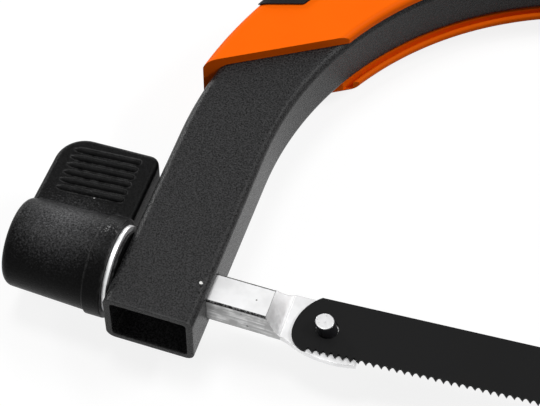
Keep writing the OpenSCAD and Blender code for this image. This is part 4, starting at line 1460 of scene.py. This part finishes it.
def hex_nut(across_flats, height, bore):
    """Six-sided nut with a bore of a radius and chamfered corners."""
    corner = across_flats / math.sqrt(3)
    flat = 1.01 * across_flats / 2
    chamfer = 0.6 * (corner - flat)
    bulk = lathe([
        (0, 0), (flat, 0), (corner, chamfer), (corner, height - chamfer), (flat, height), (0, height),
    ], 48)
    bm = combine(hex_rod(across_flats, 0, height), bulk, "INTERSECT")
    return cut(bm, rod(bore, -height, 2 * height, 32))


# ---------------------------------------------------------------- operators
class HACKSAW_OT_frame_tube(bpy.types.Operator):
    """Build the bent frame tube"""

    bl_idname = "hacksaw.frame_tube"
    bl_label = "Frame Tube"

    def execute(self, context):
        size = context.scene.saw_sizes
        piece("bent_tube", build_tube(size), "frame", powder_coat(), ["frame_tube"])
        return {"FINISHED"}


class HACKSAW_OT_draw_bar(bpy.types.Operator):
    """Build the draw bar with its forged paddle, thread and leaning pin"""

    bl_idname = "hacksaw.draw_bar"
    bl_label = "Draw Bar"

    def execute(self, context):
        size = context.scene.saw_sizes
        plan = Layout(size)
        bm = moved(bar_with_paddle(size, size.bar_reach + size.bar_inside), front_pin_place(size))
        shank_end = plan.knob_tip - 4 * MM
        shank = threaded_shank(size, size.bar_inside - OVERLAP, shank_end)
        bm = joined(bm, moved(shank, knob_place(size)))
        bar = piece("forged_draw_bar", bm, "draw_bar", zinc_painted_lighter(), ["draw_bar"])
        pin_x = saw_place(size).translation.x
        zinc_faces(bar, (LEG_PLACE.x, pin_x - size.ramp_start), size.ramp_start - size.ramp_foot)
        build_pin("front_pin", size, front_pin_place(size), "draw_bar", "front_blade_pin")
        return {"FINISHED"}


class HACKSAW_OT_rear_holder(bpy.types.Operator):
    """Build the rear blade holder with its pins"""

    bl_idname = "hacksaw.rear_holder"
    bl_label = "Rear Holder"

    def execute(self, context):
        size = context.scene.saw_sizes
        plan = Layout(size)
        bm = moved(bar_with_paddle(size, size.rear_reach + size.bar_inside), rear_pin_place(size))
        at_cross = saw_place(size) @ Matrix.Translation((plan.rear_leg_x, -size.bar_drop, 0))
        half = size.tube_thickness / 2
        bm = cut(bm, moved(rod(size.cross_pin / 2, -2 * half, 2 * half, 32), at_cross))
        holder = piece("forged_rear_holder", bm, "frame", zinc_painted_lighter(), ["rear_holder"])
        pin_x = saw_place(size).translation.x + plan.rear_pin_x
        leg_x = saw_place(size).translation.x + plan.rear_leg_x
        zinc_faces(holder, (pin_x + size.ramp_start, leg_x), size.ramp_start - size.ramp_foot)
        build_pin("rear_pin", size, rear_pin_place(size), "frame", "rear_blade_pin")
        cross = rod(size.cross_pin / 2 - PIN_PLAY, -half, half, 40)
        soften(cross, 0.3 * MM, 3, 50)
        cross = moved(cross, at_cross)
        piece("cross_pin", cross, "frame", ground_steel(), ["holder_cross_pin"])
        return {"FINISHED"}


class HACKSAW_OT_blade(bpy.types.Operator):
    """Build the toothed blade"""

    bl_idname = "hacksaw.blade"
    bl_label = "Blade"

    def execute(self, context):
        size = context.scene.saw_sizes
        piece("toothed_blade", build_blade(size), "blade", blade_coat(), ["blade"])
        return {"FINISHED"}


class HACKSAW_OT_bush_and_washer(bpy.types.Operator):
    """Build the bush and the washer between the tube and the knob"""

    bl_idname = "hacksaw.bush_and_washer"
    bl_label = "Bush and Washer"

    def execute(self, context):
        size = context.scene.saw_sizes
        plan = Layout(size)
        piece("flanged_bush", build_bush(size), "frame", knob_plastic(), ["guide_bush"])
        bore = size.shank / 2 + 0.2 * MM
        washer = ring(bore, size.washer / 2, plan.bush_face, plan.washer_face, 0.15 * MM)
        moved(washer, knob_place(size))
        piece("plated_washer", washer, "frame", zinc_painted_lighter(), ["washer"])
        return {"FINISHED"}


class HACKSAW_OT_knob(bpy.types.Operator):
    """Build the tension knob: its winged body, its collar and the nut inside"""

    bl_idname = "hacksaw.knob"
    bl_label = "Tension Knob"

    def execute(self, context):
        size = context.scene.saw_sizes
        face = Layout(size).washer_face
        piece("winged_knob", build_knob(size), "knob", knob_plastic(), ["knob_body"], 60)
        bore = size.shank / 2 + KNOB_BORE
        collar = ring(bore, size.collar / 2, face, face + size.collar_length, 0.3 * MM)
        moved(collar, knob_place(size))
        piece("ring_collar", collar, "knob", knob_plastic(), ["knob_collar"])
        dress("knob_nut", ground_steel())
        return {"FINISHED"}


class HACKSAW_OT_saddle(bpy.types.Operator):
    """Build the front saddle, its soft pad and its two screws"""

    bl_idname = "hacksaw.saddle"
    bl_label = "Front Saddle"

    def execute(self, context):
        size = context.scene.saw_sizes
        plan = Layout(size)
        orange = orange_plastic()
        piece("moulded_saddle", build_saddle(size), "frame", orange, ["saddle_shell"])
        piece("soft_pad", build_pad(size), "frame", soft_rubber(), ["saddle_pad"])
        at = Matrix.Translation((size.saddle_end - 22 * MM, plan.spine_y - 2 * MM, 0))
        lift = Matrix.Translation((0, 0, size.tube_thickness / 2 + size.saddle_wall))
        heads = []
        for turned in (0, math.pi):
            head = screw_head(
                head_d=6.4 * MM, head_h=1.6 * MM, shank_d=3 * MM, shank_low=-7 * MM, slot_depth=0.9 * MM
            )
            heads.append(moved(head, saw_place(size) @ at @ Matrix.Rotation(turned, 4, "X") @ lift))
        pair = joined(*heads)
        piece("saddle_screw_pair", pair, "frame", screw_black(), ["saddle_screws"])
        return {"FINISHED"}


class HACKSAW_OT_handle(bpy.types.Operator):
    """Build the two halves of the handle with their screws and nuts"""

    bl_idname = "hacksaw.handle"
    bl_label = "Handle"

    def execute(self, context):
        size = context.scene.saw_sizes
        near, far = build_handle_halves(size)
        orange = orange_plastic()
        piece("near_handle_half", near, "frame", orange, ["handle_near_half"])
        piece("far_handle_half", far, "frame", orange, ["handle_far_half"])
        loop = Loop(size)
        nut_h = 0.8 * size.screw
        nut_low = -loop.seat - nut_h
        screws, nuts = [], []
        for at in loop.screws:
            place = saw_place(size) @ Matrix.Translation(at)
            head = screw_head(
                head_d=size.screw + 3 * MM, head_h=2.6 * MM, shank_d=size.screw - 2 * PIN_PLAY,
                shank_low=nut_low - loop.seat, slot_depth=1.5 * MM,
            )
            screws.append(moved(head, place @ Matrix.Translation((0, 0, loop.seat))))
            nut = hex_nut(NUT_FLATS * size.screw - 0.05 * MM, nut_h, size.screw / 2)
            nuts.append(moved(nut, place @ Matrix.Translation((0, 0, nut_low))))
        screws, nuts = joined(*screws), joined(*nuts)
        piece("handle_screw_set", screws, "frame", screw_black(), ["handle_screws"])
        piece("handle_nut_set", nuts, "frame", ground_steel(), ["handle_nuts"])
        return {"FINISHED"}


class HACKSAW_OT_grip_sleeve(bpy.types.Operator):
    """Build the soft sleeve of the grip"""

    bl_idname = "hacksaw.grip_sleeve"
    bl_label = "Grip Sleeve"

    def execute(self, context):
        size = context.scene.saw_sizes
        sleeve = build_grip_sleeve(size)
        piece("soft_grip", sleeve, "frame", soft_rubber(), ["grip_sleeve"])
        return {"FINISHED"}


class HACKSAW_OT_stage(bpy.types.Operator):
    """Set up the floor, the lights and the camera"""

    bl_idname = "hacksaw.stage"
    bl_label = "Stage"

    def execute(self, context):
        build_floor(context.scene.saw_colours)
        build_world(context.scene)
        build_lamps()
        build_camera(context.scene)
        return {"FINISHED"}


# ---------------------------------------------------------------- stage
def seen_directly(nodes):
    """1 for rays that the camera, a mirror or a glass sends, 0 for light that falls on things."""
    path = nodes.add("ShaderNodeLightPath").outputs
    seen = nodes.math("MAXIMUM", path["Is Camera Ray"], path["Is Glossy Ray"])
    return nodes.math("MAXIMUM", seen, path["Is Transmission Ray"])


def build_floor(colours):
    """A wide pale floor that reads as white but keeps the saw's shadow."""
    bm = bmesh.new()
    bmesh.ops.create_grid(bm, x_segments=1, y_segments=1, size=6)
    floor = as_object(bm, "floor")
    material = bpy.data.materials.new("Pale Floor")
    material.use_nodes = True
    nodes = Nodes(material.node_tree)
    nodes.tree.nodes.remove(nodes.tree.nodes["Principled BSDF"])
    strength = nodes.math("MULTIPLY", seen_directly(nodes), 1.03 - colours.floor[0])
    matt = nodes.add("ShaderNodeBsdfDiffuse", {"Color": (*colours.floor, 1)})
    glow = nodes.add("ShaderNodeEmission", {"Color": (1, 1, 1, 1), "Strength": strength})
    both = nodes.add("ShaderNodeAddShader", {0: matt.outputs["BSDF"], 1: glow.outputs["Emission"]})
    nodes.give(nodes.tree.nodes["Material Output"].inputs["Surface"], both.outputs["Shader"])
    floor.data.materials.append(material)


def build_world(scene):
    """White surroundings: full white where seen, a plain grey light where they light the saw."""
    world = bpy.data.worlds.new("Studio")
    scene.world = world
    world.use_nodes = True
    nodes = Nodes(world.node_tree)
    back = nodes.tree.nodes["Background"].inputs
    nodes.give(back["Color"], (1, 1, 1, 1))
    nodes.give(back["Strength"], nodes.fit(seen_directly(nodes), 0, 1, 0.2, 1))


def build_lamps():
    """A soft box overhead, a long one at the right, and two small ones low behind the saw."""
    target = LEG_PLACE + Vector((0.03, 0.04, 0))
    lamps = [
        ("Overhead", Vector((-0.15, 0.11, 1.03)), (0.3, 0.3), 4.3),
        ("Right", Vector((0.7, 0.25, 0.7)), (0.45, 0.15), 5.0),
        ("Left", Vector((-0.85, 0.66, 0.35)), (0.22, 0.22), 4.0),
        ("Back", Vector((-0.15, 1.1, 0.22)), (0.5, 0.15), 2.0),
    ]
    for name, place, size, power in lamps:
        data = bpy.data.lights.new(name, "AREA")
        data.shape = "ELLIPSE"
        data.size, data.size_y = size
        data.energy = power
        lamp = bpy.data.objects.new(name, data)
        lamp.location = target + place
        lamp.rotation_euler = (-place).to_track_quat("-Z", "Y").to_euler()
        bpy.context.scene.collection.objects.link(lamp)


def build_camera(scene):
    """The camera over the front leg, looking down towards the spine."""
    right = CAMERA_LOOK.cross(UP).normalized()
    back = -CAMERA_LOOK.normalized()
    upright = back.cross(right)
    place = facing(right, upright, back, CAMERA_PLACE)
    data = bpy.data.cameras.new("Camera")
    data.lens = CAMERA_LENS
    data.sensor_width = 36
    data.clip_start = 0.01
    camera = bpy.data.objects.new("Camera", data)
    camera.matrix_world = place @ Matrix.Rotation(CAMERA_ROLL, 4, "Z")
    scene.collection.objects.link(camera)
    scene.camera = camera
    scene.view_settings.view_transform = "Standard"


class HACKSAW_PT_pieces(bpy.types.Panel):
    """Lists the saw's pieces in the sidebar"""

    bl_idname = "HACKSAW_PT_pieces"
    bl_label = "Hacksaw"
    bl_space_type = "VIEW_3D"
    bl_region_type = "UI"
    bl_category = "Hacksaw"

    def draw(self, context):
        for operator in OPERATORS:
            self.layout.operator(operator.bl_idname)


OPERATORS = [
    HACKSAW_OT_stage,
    HACKSAW_OT_frame_tube,
    HACKSAW_OT_draw_bar,
    HACKSAW_OT_rear_holder,
    HACKSAW_OT_blade,
    HACKSAW_OT_bush_and_washer,
    HACKSAW_OT_knob,
    HACKSAW_OT_saddle,
    HACKSAW_OT_handle,
    HACKSAW_OT_grip_sleeve,
]
CLASSES = [SawSizes, SawColours, *OPERATORS, HACKSAW_PT_pieces]


def register():
    """Register the classes and hang the sizes and colours on the scene."""
    for cls in CLASSES:
        bpy.utils.register_class(cls)
    bpy.types.Scene.saw_sizes = bpy.props.PointerProperty(type=SawSizes)
    bpy.types.Scene.saw_colours = bpy.props.PointerProperty(type=SawColours)


def unregister():
    """Take the classes away again."""
    del bpy.types.Scene.saw_sizes
    del bpy.types.Scene.saw_colours
    for cls in reversed(CLASSES):
        bpy.utils.unregister_class(cls)


def main():
    """Build every piece in order and write down both boxes."""
    register()
    for operator in OPERATORS:
        group, name = operator.bl_idname.split(".")
        getattr(getattr(bpy.ops, group), name)()
    bpy.context.view_layer.update()


if __name__ == "__main__":
    main()
